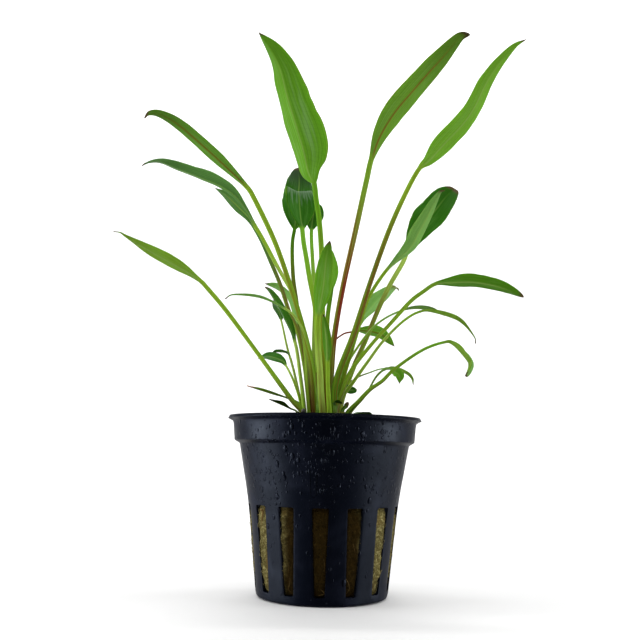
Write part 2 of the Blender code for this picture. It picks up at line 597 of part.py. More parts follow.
def make_leaf(leaf, parts, material):
    line, lengths, neck = leaf_line(leaf)
    total = lengths[-1]
    fold = math.tan(math.radians(leaf.fold))
    bm = bmesh.new()
    rings = []
    for place in leaf_places(neck, total - neck):
        wanted = neck * (1 + place) if place < 0 else neck + (total - neck) * place
        centre = point_at(line, lengths, wanted)
        across, upper = leaf_frame(leaf, line, lengths, wanted, place, place == -1.0)
        half_width, half_thickness, blade = leaf_section(leaf, place)
        ring = []
        for index in range(RING_POINTS):
            angle = math.tau * index / RING_POINTS
            side = half_width * math.cos(angle)
            lift = half_thickness * math.sin(angle) + abs(side) * fold * blade
            if index == MIDRIB_POINT:
                lift -= MIDRIB_DEPTH * blade * (1 - place)
            ring.append(bm.verts.new(centre + across * side + upper * lift))
        rings.append(ring)
    for lower, higher in zip(rings, rings[1:]):
        for index in range(RING_POINTS):
            after = (index + 1) % RING_POINTS
            bm.faces.new((lower[index], lower[after], higher[after], higher[index]))
    bm.faces.new(reversed(rings[0]))
    bm.faces.new(rings[-1])
    bmesh.ops.recalc_face_normals(bm, faces=bm.faces)
    item = link_mesh(leaf.name, mesh_from_bmesh(leaf.name, bm), parts, material)
    item.data.shade_smooth()


def main():
    clear_scene()
    parts = new_collection("potted_cryptocoryne")
    cutters = new_collection("cutters")
    plastic = make_material("pot_plastic", (0.012, 0.015, 0.028), 0.32)
    wool = make_material("mineral_wool", (0.135, 0.125, 0.062), 0.95)
    stem = make_material("rhizome", (0.075, 0.045, 0.018), 0.7)
    green = make_material("leaf_green", (0.105, 0.27, 0.035), 0.42)
    old = make_material("old_leaf", (0.11, 0.085, 0.025), 0.6)
    make_pot(parts, cutters, plastic)
    make_wool(parts, cutters, wool)
    for name, place in RHIZOME_PLACES.items():
        make_rhizome(name, place, parts, stem)
    for leaf in LEAVES:
        make_leaf(leaf, parts, green if leaf.name.startswith("leaf") else old)


main()
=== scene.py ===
# %% [markdown]
# # Potted cryptocoryne
# A water plant as a nursery sells it: a black net pot of the 5 cm size, a plug of mineral wool and a
# tuft of stalked leaves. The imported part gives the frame, one solid for each leaf, the pot, the wool
# and the rhizomes. This script grows each of them again, finer, in the same place.
# Every leaf is one skin drawn along a guide line, so one Geometry Nodes tree makes all of them, and
# the leaf table holds what differs. The pot is a thin pressed sheet, so it is made as a sheet.

# %% frame
import math
from collections import namedtuple

import bmesh
import bpy
import numpy as np
from mathutils import Matrix, Vector, noise


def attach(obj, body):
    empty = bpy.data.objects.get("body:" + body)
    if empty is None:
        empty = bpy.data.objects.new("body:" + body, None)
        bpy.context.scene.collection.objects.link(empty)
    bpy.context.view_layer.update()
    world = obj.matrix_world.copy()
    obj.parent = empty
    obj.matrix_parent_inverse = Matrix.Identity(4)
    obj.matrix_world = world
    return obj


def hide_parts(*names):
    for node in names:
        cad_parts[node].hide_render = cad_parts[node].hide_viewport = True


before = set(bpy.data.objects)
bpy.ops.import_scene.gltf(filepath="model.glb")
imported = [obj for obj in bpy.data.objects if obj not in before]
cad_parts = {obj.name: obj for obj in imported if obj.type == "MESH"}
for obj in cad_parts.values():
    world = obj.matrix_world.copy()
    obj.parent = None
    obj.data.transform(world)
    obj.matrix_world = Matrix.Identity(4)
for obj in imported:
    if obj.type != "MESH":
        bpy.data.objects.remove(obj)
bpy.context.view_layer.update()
MM = 0.001

# %% [markdown]
# ## Writing node trees as sums
# The leaf rule and the finishes are long formulas. A small class lets them be written as sums: each
# plus or times adds its own Math node to the tree. The same class serves shapes and materials,
# because both kinds of tree use the same Math nodes.

# %% node sums
class Term:
    """One value on its way through a node tree."""

    def __init__(self, tree, socket):
        self.tree = tree
        self.socket = socket

    def __add__(self, other):
        return maths(self.tree, "ADD", self, other)

    def __sub__(self, other):
        return maths(self.tree, "SUBTRACT", self, other)

    def __mul__(self, other):
        return maths(self.tree, "MULTIPLY", self, other)

    def __truediv__(self, other):
        return maths(self.tree, "DIVIDE", self, other)

    def __pow__(self, other):
        return maths(self.tree, "POWER", self, other)

    def __radd__(self, other):
        return maths(self.tree, "ADD", other, self)

    def __rsub__(self, other):
        return maths(self.tree, "SUBTRACT", other, self)

    def __rmul__(self, other):
        return maths(self.tree, "MULTIPLY", other, self)

    def __neg__(self):
        return maths(self.tree, "MULTIPLY", self, -1.0)

    def apply(self, operation, *others):
        return maths(self.tree, operation, self, *others)

    def above(self, limit=0.0):
        return self.apply("MAXIMUM", limit)

    def below(self, limit=1.0):
        return self.apply("MINIMUM", limit)

    def size(self):
        return self.apply("ABSOLUTE")


def plug(tree, value, place):
    if isinstance(value, Term):
        value = value.socket
    if isinstance(value, bpy.types.NodeSocket):
        tree.links.new(value, place)
    else:
        place.default_value = value


def add_node(tree, kind, inputs=None, **settings):
    node = tree.nodes.new(kind)
    for name, value in settings.items():
        setattr(node, name, value)
    for name, value in (inputs or {}).items():
        plug(tree, value, node.inputs[name])
    return node


def maths(tree, operation, *values):
    node = add_node(tree, "ShaderNodeMath", operation=operation)
    for place, value in zip(node.inputs, values):
        plug(tree, value, place)
    return Term(tree, node.outputs[0])


def vectors(tree, operation, *values):
    node = add_node(tree, "ShaderNodeVectorMath", operation=operation)
    for place, value in zip(node.inputs, values):
        plug(tree, value, place)
    return Term(tree, node.outputs[0])


def stretched(tree, vector, factor):
    node = add_node(tree, "ShaderNodeVectorMath", operation="SCALE")
    plug(tree, vector, node.inputs[0])
    plug(tree, factor, node.inputs["Scale"])
    return Term(tree, node.outputs[0])


def smooth(tree, value, low, high):
    """0 below low, 1 above high and an eased step between them."""
    node = add_node(tree, "ShaderNodeMapRange", interpolation_type="SMOOTHSTEP")
    plug(tree, value, node.inputs["Value"])
    plug(tree, low, node.inputs["From Min"])
    plug(tree, high, node.inputs["From Max"])
    return Term(tree, node.outputs["Result"])


def entries(tree, inputs, outputs):
    """Give a node group its named inputs and outputs, and return the inputs as terms."""
    for name, kind, default in inputs:
        socket = tree.interface.new_socket(name, in_out="INPUT", socket_type="NodeSocket" + kind)
        if default is not None:
            socket.default_value = default
    for name, kind in outputs:
        tree.interface.new_socket(name, in_out="OUTPUT", socket_type="NodeSocket" + kind)
    start = tree.nodes.new("NodeGroupInput")
    return {name: Term(tree, start.outputs[name]) for name, kind, default in inputs}


def hand_out(tree, **results):
    end = tree.nodes.new("NodeGroupOutput")
    for name, value in results.items():
        plug(tree, value, end.inputs[name])


def grow(name, guide, tree, values):
    """Run a Geometry Nodes tree on a guide mesh and keep the result as a plain mesh."""
    holder = bpy.data.objects.new(name, guide)
    bpy.context.scene.collection.objects.link(holder)
    modifier = holder.modifiers.new("grow", "NODES")
    modifier.node_group = tree
    for item in tree.interface.items_tree:
        if item.item_type == "SOCKET" and item.in_out == "INPUT" and item.name in values:
            modifier[item.identifier] = values[item.name]
    bpy.context.view_layer.update()
    graph = bpy.context.evaluated_depsgraph_get()
    grown = bpy.data.meshes.new_from_object(
        holder.evaluated_get(graph), preserve_all_data_layers=True, depsgraph=graph)
    holder.modifiers.remove(modifier)
    holder.data = grown
    grown.name = name
    return holder


def seen_out(mesh):
    """Turn all faces of a closed mesh outward."""
    bm = bmesh.new()
    bm.from_mesh(mesh)
    bmesh.ops.recalc_face_normals(bm, faces=bm.faces)
    bm.to_mesh(mesh)
    bm.free()


def hand_in(piece, slot, *nodes):
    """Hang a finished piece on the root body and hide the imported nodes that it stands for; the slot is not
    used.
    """
    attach(piece, "root")
    for node in nodes:
        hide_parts(node)


print("helpers ready")

# %% [markdown]
# ## The leaf table
# Each real leaf is one growth: a stalk with a sheathing foot, a neck and a blade. A row gives the
# places its middle line runs through, as seen from in front, how far it comes forward or goes back,
# and the blade's width, fold, turn and outline. It could be a drawn mesh for each leaf, but the same
# plan holds for all, so numbers keep them alike where nature does and different where she doesn't.

# %% leaf table
EYE = Vector((-1.95, -240.0, 38.75)) * MM
LANCE = (0.36, 0.60, 0.65)
NARROW = (0.45, 0.75, 0.80)
OVAL = (0.50, 0.50, 0.45)
BROAD = (0.25, 0.42, 0.76)
EGG = (0.38, 0.45, 0.55)
SPEAR = (0.36, 0.70, 1.40)
STRAP = (0.38, 0.58, 0.50)
TAPER = (0.24, 0.55, 0.75)
PADDLE = (0.50, 1.40, 0.60)
ROUND = (0.52, 0.42, 0.38)
DROP = (0.50, 0.55, 1.10)

# stalk and blade are (across, up) in mm on the upright plane through the pot's axis; near is the
# distance in front of it at foot, neck and tip; turn is the twist of the blade at neck and tip.
Leaf = namedtuple("Leaf", "name stalk blade near width fold turn stalk_radius form")
LEAVES = [
    Leaf("leaf_tall_front",
         stalk=[(0.5, 45.5), (0.5, 50.75), (-0.5, 62.75), (-1.25, 77.25), (-1.75, 95.25),
                (-2.75, 107.25), (-3.75, 113.5), (-4.5, 118.75)],
         blade=[(-6.25, 122.75), (-7.75, 129), (-10.75, 138.5), (-13.25, 146.25), (-15.5, 154.5),
                (-18.5, 160.75), (-22.5, 166.5)],
         near=(9.25, 16, 38), width=12.2, fold=28, turn=(0, 0), stalk_radius=(1.1, 0.75), form=BROAD),
    Leaf("leaf_upper_left",
         stalk=[(-2.25, 45.5), (-2.75, 50.75), (-4.25, 65.25), (-7.5, 77.5), (-11.25, 88.75),
                (-16, 101), (-22.25, 113.5), (-24.75, 117.25)],
         blade=[(-30.5, 122.75), (-38, 129.5), (-46, 136.25), (-51.5, 139.25), (-54.75, 139.5),
                (-56.25, 138)],
         near=(4.25, 15, 30), width=3.6, fold=22, turn=(50, 40), stalk_radius=(1.2, 0.7), form=STRAP),
    Leaf("leaf_left_folded",
         stalk=[(-3.25, 45.5), (-4, 50.5), (-5, 59.75), (-6.25, 71.25), (-8.5, 80),
                (-10.5, 85.75), (-14.5, 92.5), (-19.5, 101.5), (-21.5, 104.75)],
         blade=[(-24.5, 109.75), (-28, 114), (-32.5, 117), (-38.75, 119.5), (-45.5, 122),
                (-50.5, 124), (-54, 124), (-56.25, 123)],
         near=(1.75, -12.75, -30), width=6.4, fold=30, turn=(-45, -30), stalk_radius=(1, 0.62), form=PADDLE),
    Leaf("leaf_left_behind",
         stalk=[(-3.5, 45.5), (-3.75, 50.5), (-5.25, 60), (-8, 72.75), (-11, 79.75),
                (-13.75, 87.5), (-16.75, 94.25), (-19.5, 100.25), (-21.75, 104.25)],
         blade=[(-23.75, 107.5), (-27.5, 111.25), (-31, 114.5), (-34, 116.5)],
         near=(-2.5, -25.5, -34), width=4, fold=20, turn=(-50, -40), stalk_radius=(1, 0.62), form=NARROW),
    Leaf("leaf_far_left",
         stalk=[(-4.25, 45.5), (-6.5, 50.75), (-9.25, 53.75), (-12.75, 58.25), (-21, 69),
                (-29.5, 79.75), (-35.5, 86.5), (-37.25, 88.25)],
         blade=[(-41.5, 91), (-46.5, 93.75), (-51.75, 96.5), (-59.5, 101), (-61.5, 102.25),
                (-63.5, 102.5)],
         near=(9.5, 16.25, 30), width=3.8, fold=18, turn=(50, 35), stalk_radius=(1.25, 0.62), form=SPEAR),
    Leaf("leaf_back_oval",
         stalk=[(-4, 45.5), (-4.5, 54), (-5.75, 62.5), (-7.75, 74.25), (-9, 83), (-10, 89.25),
                (-10.5, 96.25), (-10.5, 101), (-10, 104.5)],
         blade=[(-9.75, 109.25), (-9.25, 114.5), (-9, 119.5), (-9.5, 123.25)],
         near=(-15.5, -36, -52), width=11, fold=12, turn=(0, 0), stalk_radius=(1, 0.62), form=EGG),
    Leaf("leaf_back_rounded",
         stalk=[(-1, 45.5), (-1.5, 50.75), (-2, 59.75), (-2.5, 71.5), (-3.25, 80.25),
                (-5.25, 89.75), (-6.25, 95.25), (-7.25, 100.5), (-7.75, 104.5)],
         blade=[(-8.5, 109.25), (-9.25, 116), (-9.75, 111.75)],
         near=(-13.5, -26, -33.5), width=10.6, fold=14, turn=(0, 0), stalk_radius=(1.1, 0.8), form=OVAL),
    Leaf("leaf_back_small",
         stalk=[(-2, 45.5), (-2.25, 50.75), (-3.25, 64), (-3.5, 71.5), (-3.5, 79.5), (-4, 89),
                (-4.5, 95.25), (-5, 104.25)],
         blade=[(-4, 112.5)],
         near=(-16.75, -30, -34), width=7, fold=16, turn=(0, 0), stalk_radius=(0.95, 0.6), form=OVAL),
    Leaf("leaf_tall_right",
         stalk=[(1.25, 45.5), (1.25, 54.25), (1.5, 61.5), (2.25, 72.75), (4.5, 87.25),
                (8, 104.25), (11, 119.25), (12.5, 126.5)],
         blade=[(15, 133.75), (19.25, 141.25), (24.25, 147.75), (29.5, 154.25), (33.5, 159),
                (37, 163.5), (39.75, 166.5), (42.5, 167.25)],
         near=(0.75, 12.5, 26), width=6.6, fold=18, turn=(-38, -35), stalk_radius=(1.15, 0.8), form=STRAP),
    Leaf("leaf_far_right_tall",
         stalk=[(2.5, 45.75), (2.5, 51.75), (3.25, 60.5), (7.75, 73.25), (12.25, 88),
                (18, 104.75), (23.25, 117), (27, 124)],
         blade=[(29.75, 126.5), (34.75, 132.25), (40.25, 138.5), (43.75, 144), (47.25, 151.5),
                (51.75, 158.5), (56.25, 163.75), (59.75, 166)],
         near=(6.75, 17.25, 36), width=5.8, fold=14, turn=(-42, -30), stalk_radius=(1.6, 0.66), form=TAPER),
    Leaf("leaf_right_narrow",
         stalk=[(2.75, 45.75), (3.5, 52.75), (5, 60.5), (7.5, 69.25), (10, 77.75),
                (12.25, 84.5), (17.5, 92.75)],
         blade=[(24, 99.25), (26.5, 103.75), (29, 108.5), (32.75, 116), (34.5, 117.25)],
         near=(-1.25, 8.5, 16), width=4.4, fold=24, turn=(-40, -30), stalk_radius=(0.9, 0.52), form=NARROW),
    Leaf("leaf_right_dark",
         stalk=[(4, 45.75), (4.5, 53.25), (7.75, 63.25), (11.25, 71.5), (14.5, 79.75),
                (18, 87.5), (22, 94.75), (23.5, 98.5)],
         blade=[(26.75, 104.5), (31, 110), (34.75, 115), (37.5, 117.75)],
         near=(-7, -21.5, -34), width=10, fold=16, turn=(55, 50), stalk_radius=(1.05, 0.75), form=ROUND),
    Leaf("leaf_right_arching",
         stalk=[(2.75, 45.75), (3, 52.25), (4.5, 56), (7, 62.5), (12.75, 70.25), (18.5, 76.75),
                (24.25, 83.25), (28, 86.25), (31.75, 88.75)],
         blade=[(36.25, 89.25), (42.75, 89.5), (49.25, 88.5), (53.75, 87), (57.5, 85.25)],
         near=(3.25, 7, 10), width=4.6, fold=18, turn=(-50, -40), stalk_radius=(1.5, 0.58), form=STRAP),
    Leaf("leaf_right_olive",
         stalk=[(2.75, 45.75), (3, 55.25), (5.75, 63.5), (8, 68), (13.75, 75.75),
                (20.75, 80.25)],
         blade=[(27.5, 81.25), (34.75, 79.25)],
         near=(-6.25, -11, -18), width=3.6, fold=24, turn=(0, 0), stalk_radius=(0.65, 0.42), form=NARROW),
    Leaf("leaf_right_hooked",
         stalk=[(3.5, 45.75), (4.5, 54.25), (8, 59.75), (12.5, 66.25), (15.5, 70.5),
                (19, 74.5), (22.75, 78), (26.5, 80.25)],
         blade=[(30.25, 80.5), (38.25, 78), (42.75, 73.5), (43.25, 71.25)],
         near=(-3.5, -4.75, -10), width=3, fold=30, turn=(0, 0), stalk_radius=(0.9, 0.52), form=SPEAR),
    Leaf("leaf_right_drooping",
         stalk=[(4.25, 45.75), (6.25, 50.5), (9.5, 54), (12.75, 57.5), (16.25, 60),
                (19.75, 63.5), (27.5, 69), (33.75, 71.5)],
         blade=[(36.75, 71), (40.75, 66.5), (41.25, 64.5), (40.25, 61.75)],
         near=(8.5, 12.25, 18), width=5, fold=24, turn=(0, 0), stalk_radius=(1.4, 0.52), form=OVAL),
    Leaf("leaf_low_right_thin",
         stalk=[(2, 45.5), (3.75, 53.25), (5.5, 57.75), (9, 60.75), (12.5, 62.25), (16.25, 63.5)],
         blade=[(20, 63.25), (23, 62.25), (24.75, 60.75), (25.25, 59)],
         near=(-9, -15.5, -24), width=2.6, fold=30, turn=(0, 0), stalk_radius=(0.5, 0.3), form=TAPER),
    Leaf("leaf_low_right_small",
         stalk=[(5, 45.75), (7.25, 50.75), (11.25, 55.5), (14.25, 60.75), (16.5, 63),
                (18.5, 63.5)],
         blade=[(20, 62.5), (21.25, 61.5), (21.25, 59.25)],
         near=(0.5, 2.5, 4.5), width=3, fold=20, turn=(60, 80), stalk_radius=(0.6, 0.36), form=DROP),
    Leaf("leaf_mid_right",
         stalk=[(0.75, 45.5), (0.75, 54), (1, 64.25), (2, 70.5), (4.75, 73.25), (7.5, 74)],
         blade=[(10.5, 74.5), (15.75, 73.5), (19.75, 70)],
         near=(-12.5, -20, -30), width=4.3, fold=16, turn=(-45, -40), stalk_radius=(0.6, 0.3), form=NARROW),
    Leaf("leaf_mid_right_curled",
         stalk=[(1.75, 45.5), (2.5, 54.25), (4.75, 62.75), (7.25, 69.75), (9.5, 75.75)],
         blade=[(10.75, 78.75), (15.25, 83.75), (19.5, 87.25), (21, 86.5)],
         near=(-11, -17, -30), width=6, fold=18, turn=(30, 30), stalk_radius=(0.7, 0.42), form=LANCE),
    Leaf("leaf_centre_bright",
         stalk=[(-0.5, 45.5), (-0.75, 50.75), (-1.25, 56), (-1.75, 63.25), (-2.5, 70.75),
                (-2.5, 78.5)],
         blade=[(-1.25, 86.75), (-0.5, 95.75), (0.5, 101)],
         near=(11.5, 15, 25), width=5, fold=14, turn=(0, 0), stalk_radius=(1, 0.8), form=LANCE),
    Leaf("leaf_centre_dark",
         stalk=[(0, 45.5), (0.25, 50.75), (0, 59.75), (0.25, 70), (0.25, 78), (1.25, 86.75)],
         blade=[(1.25, 90.25), (0.5, 98.75)],
         near=(-2.25, -7, -14), width=4.2, fold=20, turn=(0, 0), stalk_radius=(0.8, 0.65), form=LANCE),
    Leaf("leaf_centre_low",
         stalk=[(1.5, 45.5), (1.25, 50.75), (0.75, 57.75), (0.5, 65)],
         blade=[(0, 72.25), (-1, 79)],
         near=(13.5, 14.5, 18.5), width=2.7, fold=14, turn=(0, 0), stalk_radius=(0.8, 0.55), form=LANCE),
    Leaf("leaf_inner_left_dark",
         stalk=[(-5.25, 45.5), (-6, 52.75), (-7.25, 61.25), (-9, 70.75)],
         blade=[(-12.5, 78), (-16.5, 84.75), (-18.25, 86.75)],
         near=(3, -2, -3), width=5.4, fold=20, turn=(0, 0), stalk_radius=(0.8, 0.6), form=ROUND),
    Leaf("leaf_inner_left_bright",
         stalk=[(-4.25, 45.5), (-5, 54), (-6.5, 65), (-8.25, 73.75)],
         blade=[(-10.5, 81.5), (-12.25, 84.5), (-15, 86.75), (-18.25, 87.75)],
         near=(-11, -17.5, -24), width=4.6, fold=20, turn=(55, 55), stalk_radius=(0.6, 0.42), form=NARROW),
    Leaf("leaf_inner_left_grey",
         stalk=[(-6.25, 45.5), (-7, 52.75), (-9.25, 62.5), (-11.25, 69), (-13.25, 77)],
         blade=[(-15.25, 82.75)],
         near=(-10.5, -23.25, -30), width=4.2, fold=20, turn=(0, 0), stalk_radius=(0.55, 0.34), form=OVAL),
    Leaf("leaf_left_thin_arch",
         stalk=[(-1.5, 45.5), (-2, 50.75), (-2.5, 57.5), (-3.5, 63.75), (-4.75, 68.5),
                (-6.5, 73.75), (-9.25, 78.25), (-12.25, 80.5)],
         blade=[(-19.25, 83.5), (-27.25, 84.25), (-29.75, 83)],
         near=(6.75, 10, 14), width=1.8, fold=30, turn=(0, 0), stalk_radius=(0.55, 0.4), form=NARROW),
    Leaf("leaf_low_left_spotted",
         stalk=[(-6.25, 45.5), (-7, 53), (-9, 59), (-11.5, 63.75)],
         blade=[(-13, 65.25), (-16.75, 66.25), (-19.5, 65.75)],
         near=(-1.5, -6.25, -14), width=3.6, fold=18, turn=(-50, -40), stalk_radius=(0.6, 0.34), form=OVAL),
    Leaf("leaf_low_left_edge_on",
         stalk=[(-5.75, 45.5), (-6.5, 52), (-8.75, 60.5), (-10.5, 66.75)],
         blade=[(-13.5, 67.75), (-15.75, 67.25)],
         near=(-7.75, -10.75, -13.5), width=2.6, fold=30, turn=(0, 0), stalk_radius=(0.5, 0.3), form=NARROW),
    Leaf("leaf_low_left_pink",
         stalk=[(-5.25, 47.25), (-7.25, 52.75), (-10.75, 54.5)],
         blade=[(-14.75, 55.5), (-22.5, 57.75)],
         near=(7, 6, 13.75), width=2, fold=30, turn=(0, 0), stalk_radius=(0.6, 0.35), form=NARROW),
    Leaf("leaf_low_left_dark",
         stalk=[(-6, 46.25), (-7.75, 50.5), (-9.75, 51.5)],
         blade=[(-16, 54)],
         near=(5.25, 4.75, 8), width=3, fold=26, turn=(0, 0), stalk_radius=(0.7, 0.35), form=NARROW),
    Leaf("leaf_crown_right",
         stalk=[(1.75, 45.5), (2, 54.5), (4.5, 57.75)],
         blade=[(7.25, 57), (9, 57.25)],
         near=(-4.75, -3.75, -5.25), width=2.8, fold=12, turn=(65, 65), stalk_radius=(0.6, 0.5), form=OVAL),
    Leaf("leaf_crown_folded",
         stalk=[(2.75, 45.75), (2.75, 52.5)],
         blade=[(3, 53.5), (5, 53.25)],
         near=(10.5, 9.75, 10), width=2.6, fold=24, turn=(0, 0), stalk_radius=(0.7, 0.55), form=OVAL),
    Leaf("old_sheath_right",
         stalk=[(4, 45.75), (5, 50.75)],
         blade=[(6, 52.25), (6.75, 53.5)],
         near=(12.5, 10, 10.75), width=2.3, fold=10, turn=(0, 0), stalk_radius=(1, 0.85), form=OVAL),
    Leaf("leaf_low_back",
         stalk=[(5.25, 45.75), (7.25, 49.5)],
         blade=[(11.25, 50.5), (13.25, 49.75)],
         near=(-9.75, -11, -16), width=3.4, fold=16, turn=(0, 0), stalk_radius=(0.7, 0.5), form=OVAL),
    Leaf("scale_leaf_centre",
         stalk=[(-2, 45.5), (-2, 52.75)],
         blade=[(-2.5, 58.25), (-2.75, 62)],
         near=(8.5, 9, 9), width=1, fold=10, turn=(0, 0), stalk_radius=(0.5, 0.45), form=OVAL),
]
print("leaves in the table:", len(LEAVES))

# %% [markdown]
# ## The guide lines
# A guide is a chain of points along the leaf's middle. Each point knows how far along the leaf it
# is (-1 at the foot, 0 at the neck, 1 at the tip), which way is across the leaf and which way its
# upper side looks. The line is a smooth curve through the table's places; a leaf that bends forward
# is moved towards the viewer along the line of sight, so that its outline stays where it was seen.

# %% guide lines
POINTS_PER_SPAN = 16
STALK_ROW_EVERY = 1.1 * MM
BLADE_ROW_EVERY = 0.62 * MM
FRAME_STEP_SHARE = 0.01

# Bits that are missing from a blade's edge: side, place along, half length and depth share
NICKS = {
    "leaf_left_folded": [(-1, 0.93, 0.025, 0.45)],
    "leaf_right_hooked": [(-1, 0.42, 0.030, 0.45)],
    "leaf_low_left_spotted": [(-1, 0.60, 0.030, 0.25)],
}


def ease(value):
    value = min(max(value, 0.0), 1.0)
    return value * value * (3.0 - 2.0 * value)


def curve_through(points):
    ends = [2 * points[0] - points[1], *points, 2 * points[-1] - points[-2]]
    line = []
    for a, b, c, d in zip(ends, ends[1:], ends[2:], ends[3:]):
        for step in range(POINTS_PER_SPAN):
            t = step / POINTS_PER_SPAN
            line.append(0.5 * (2 * b + (c - a) * t + (2 * a - 5 * b + 4 * c - d) * t * t
                               + (3 * b - a - 3 * c + d) * t * t * t))
    line.append(points[-1].copy())
    return line


def running_length(line):
    lengths = [0.0]
    for first, second in zip(line, line[1:]):
        lengths.append(lengths[-1] + (second - first).length)
    return lengths


def leaf_line(leaf):
    """The leaf's middle line in space, its running length, and the length at the neck."""
    flat = [Vector((across, 0.0, up)) * MM for across, up in leaf.stalk + leaf.blade]
    line = curve_through(flat)
    lengths = running_length(line)
    neck_index = (len(leaf.stalk) - 1) * POINTS_PER_SPAN
    neck_share = lengths[neck_index] / lengths[-1]
    foot, neck, tip = (value * MM for value in leaf.near)
    bend = ((tip - foot) - (neck - foot) / neck_share) / (1.0 - neck_share)
    slope = (neck - foot) / neck_share - bend * neck_share
    distance = -EYE.y
    placed = []
    for point, length in zip(line, lengths):
        share = length / lengths[-1]
        near = foot + slope * share + bend * share * share
        placed.append(EYE + (point - EYE) * ((distance - near) / distance))
    lengths = running_length(placed)
    return placed, lengths, lengths[neck_index]


def point_at(line, lengths, wanted):
    index = min(max(int(np.searchsorted(lengths, wanted)), 1), len(line) - 1)
    span = lengths[index] - lengths[index - 1]
    share = min(max((wanted - lengths[index - 1]) / span, 0.0), 1.0)
    return line[index - 1].lerp(line[index], share)


def leaf_frame(leaf, line, lengths, wanted, along):
    """Directions across the leaf and out of its upper side at one place."""
    step = lengths[-1] * FRAME_STEP_SHARE
    ahead = point_at(line, lengths, min(wanted + step, lengths[-1]))
    behind = point_at(line, lengths, max(wanted - step, 0.0))
    tangent = Vector((0.0, 0.0, 1.0)) if along <= -1.0 else (ahead - behind).normalized()
    heading = line[-1] - line[0]
    heading.z = 0.0
    heading.normalize()
    upper = Vector((0.0, 0.0, tangent.dot(heading))) - heading * tangent.z
    upper = (upper - tangent * upper.dot(tangent)).normalized()
    across = tangent.cross(upper)
    turn = math.radians(leaf.turn[0] + (leaf.turn[1] - leaf.turn[0]) * max(along, 0.0))
    turn *= ease(2.0 * (along + 1.0) - 1.0) if along < 0 else 1.0
    upper = upper * math.cos(turn) + across * math.sin(turn)
    return tangent.cross(upper), upper


def margin_share(leaf, side, along, seed):
    """How much of its full half width a blade has on one side: a slow wander, less any nicks."""
    share = 1.0 + 0.07 * noise.noise(Vector((along * 3.1 + seed, side * 5.0, 0.0)))
    share += 0.03 * noise.noise(Vector((along * 16.0, side * 9.0 + seed, 1.0)))
    for nick_side, place, half_length, depth in NICKS.get(leaf.name, ()):
        if nick_side == side:
            share *= 1.0 - depth * ease(1.0 - abs(along - place) / half_length / 1.5)
    return share if along > 0 else 1.0


def guide_mesh(leaf, seed):
    line, lengths, neck = leaf_line(leaf)
    total = lengths[-1]
    stalk_rows = max(round(neck / STALK_ROW_EVERY), 4)
    blade_rows = max(round((total - neck) / BLADE_ROW_EVERY), 10)
    places = [-1.0 + index / stalk_rows for index in range(stalk_rows)]
    places += [1.0 - (1.0 - index / blade_rows) ** 1.25 for index in range(blade_rows + 1)]
    rows = [places[0], *places, places[-1]]
    points, across, upper = [], [], []
    for along in rows:
        wanted = neck * (1 + along) if along < 0 else neck + (total - neck) * along
        points.append(point_at(line, lengths, wanted))
        sideways, out = leaf_frame(leaf, line, lengths, wanted, along)
        across.append(sideways)
        upper.append(out)
    mesh = bpy.data.meshes.new(leaf.name + "_guide")
    mesh.from_pydata(points, [(i, i + 1) for i in range(len(points) - 1)], [])
    closed = [0.0] + [1.0] * (len(rows) - 2) + [0.0]
    numbers = {
        "along": rows,
        "swell": closed,
        "left": [margin_share(leaf, -1, along, seed) for along in rows],
        "right": [margin_share(leaf, 1, along, seed) for along in rows],
    }
    for name, values in numbers.items():
        mesh.attributes.new(name, "FLOAT", "POINT").data.foreach_set("value", values)
    for name, values in {"across": across, "upper": upper}.items():
        flat = [part for value in values for part in value]
        mesh.attributes.new(name, "FLOAT_VECTOR", "POINT").data.foreach_set("vector", flat)
    return mesh, total - neck


# %% [markdown]
# ## The leaf rule
# One Geometry Nodes tree turns a guide into a closed leaf skin. A flat grid has one row for each
# guide point and one column for each place round the leaf; each grid point reads its row of the
# guide, works out how wide and thick the leaf is there, and is set in place. The stalk is round with
# a channel on its upper side, its foot widens into a sheath, the blade folds along its midrib,
# cups, waves a little at the margin and carries a rib underneath. A loft of curves would do the
# outline, but not these cross sections, and the grid gives every point its own along and side
# values, which the finishes need.

# %% leaf tree
RING_COLUMNS = 36
LEAF_ENTRIES = [
    ("Guide", "Geometry", None),
    ("Columns", "Int", RING_COLUMNS),
    ("Width", "Float", 6.0 * MM),
    ("Foot half width", "Float", 1.0 * MM),
    ("Foot half thickness", "Float", 0.9 * MM),
    ("Neck radius", "Float", 0.6 * MM),
    ("Sheath taper", "Float", 1.6),
    ("Widest", "Float", 0.45),
    ("Opening", "Float", 0.75),
    ("Closing", "Float", 0.80),
    ("Neck share", "Float", 0.15),
    ("Blade half thickness", "Float", 0.17 * MM),
    ("Tip half width", "Float", 0.10 * MM),
    ("Fold", "Float", 0.3),
    ("Cup", "Float", 0.10),
    ("Wave height", "Float", 0.25 * MM),
    ("Waves", "Float", 4.0),
    ("Wave start", "Float", 0.0),
    ("Rib depth", "Float", 0.30 * MM),
    ("Rib width", "Float", 0.38 * MM),
    ("Channel", "Float", 0.55),
    ("Finish", "Material", None),
]


def sampled(tree, guide, row, source, kind):
    """A value of the guide, read at the row that a grid point belongs to."""
    reader = add_node(tree, "GeometryNodeSampleIndex", {"Geometry": guide, "Index": row}, data_type=kind)
    plug(tree, source, reader.inputs["Value"])
    return Term(tree, reader.outputs["Value"])


def guide_values(tree, guide, row):
    """All that the guide knows at a row, by name."""
    kinds = {"along": "FLOAT", "swell": "FLOAT", "left": "FLOAT", "right": "FLOAT",
             "across": "FLOAT_VECTOR", "upper": "FLOAT_VECTOR"}
    found = {}
    for name, kind in kinds.items():
        label = add_node(tree, "GeometryNodeInputNamedAttribute", {"Name": name}, data_type=kind)
        found[name] = sampled(tree, guide, row, label.outputs["Attribute"], kind)
    place = add_node(tree, "GeometryNodeInputPosition").outputs[0]
    found["centre"] = sampled(tree, guide, row, place, "FLOAT_VECTOR")
    return found


print("entries of the leaf tree:", len(LEAF_ENTRIES))

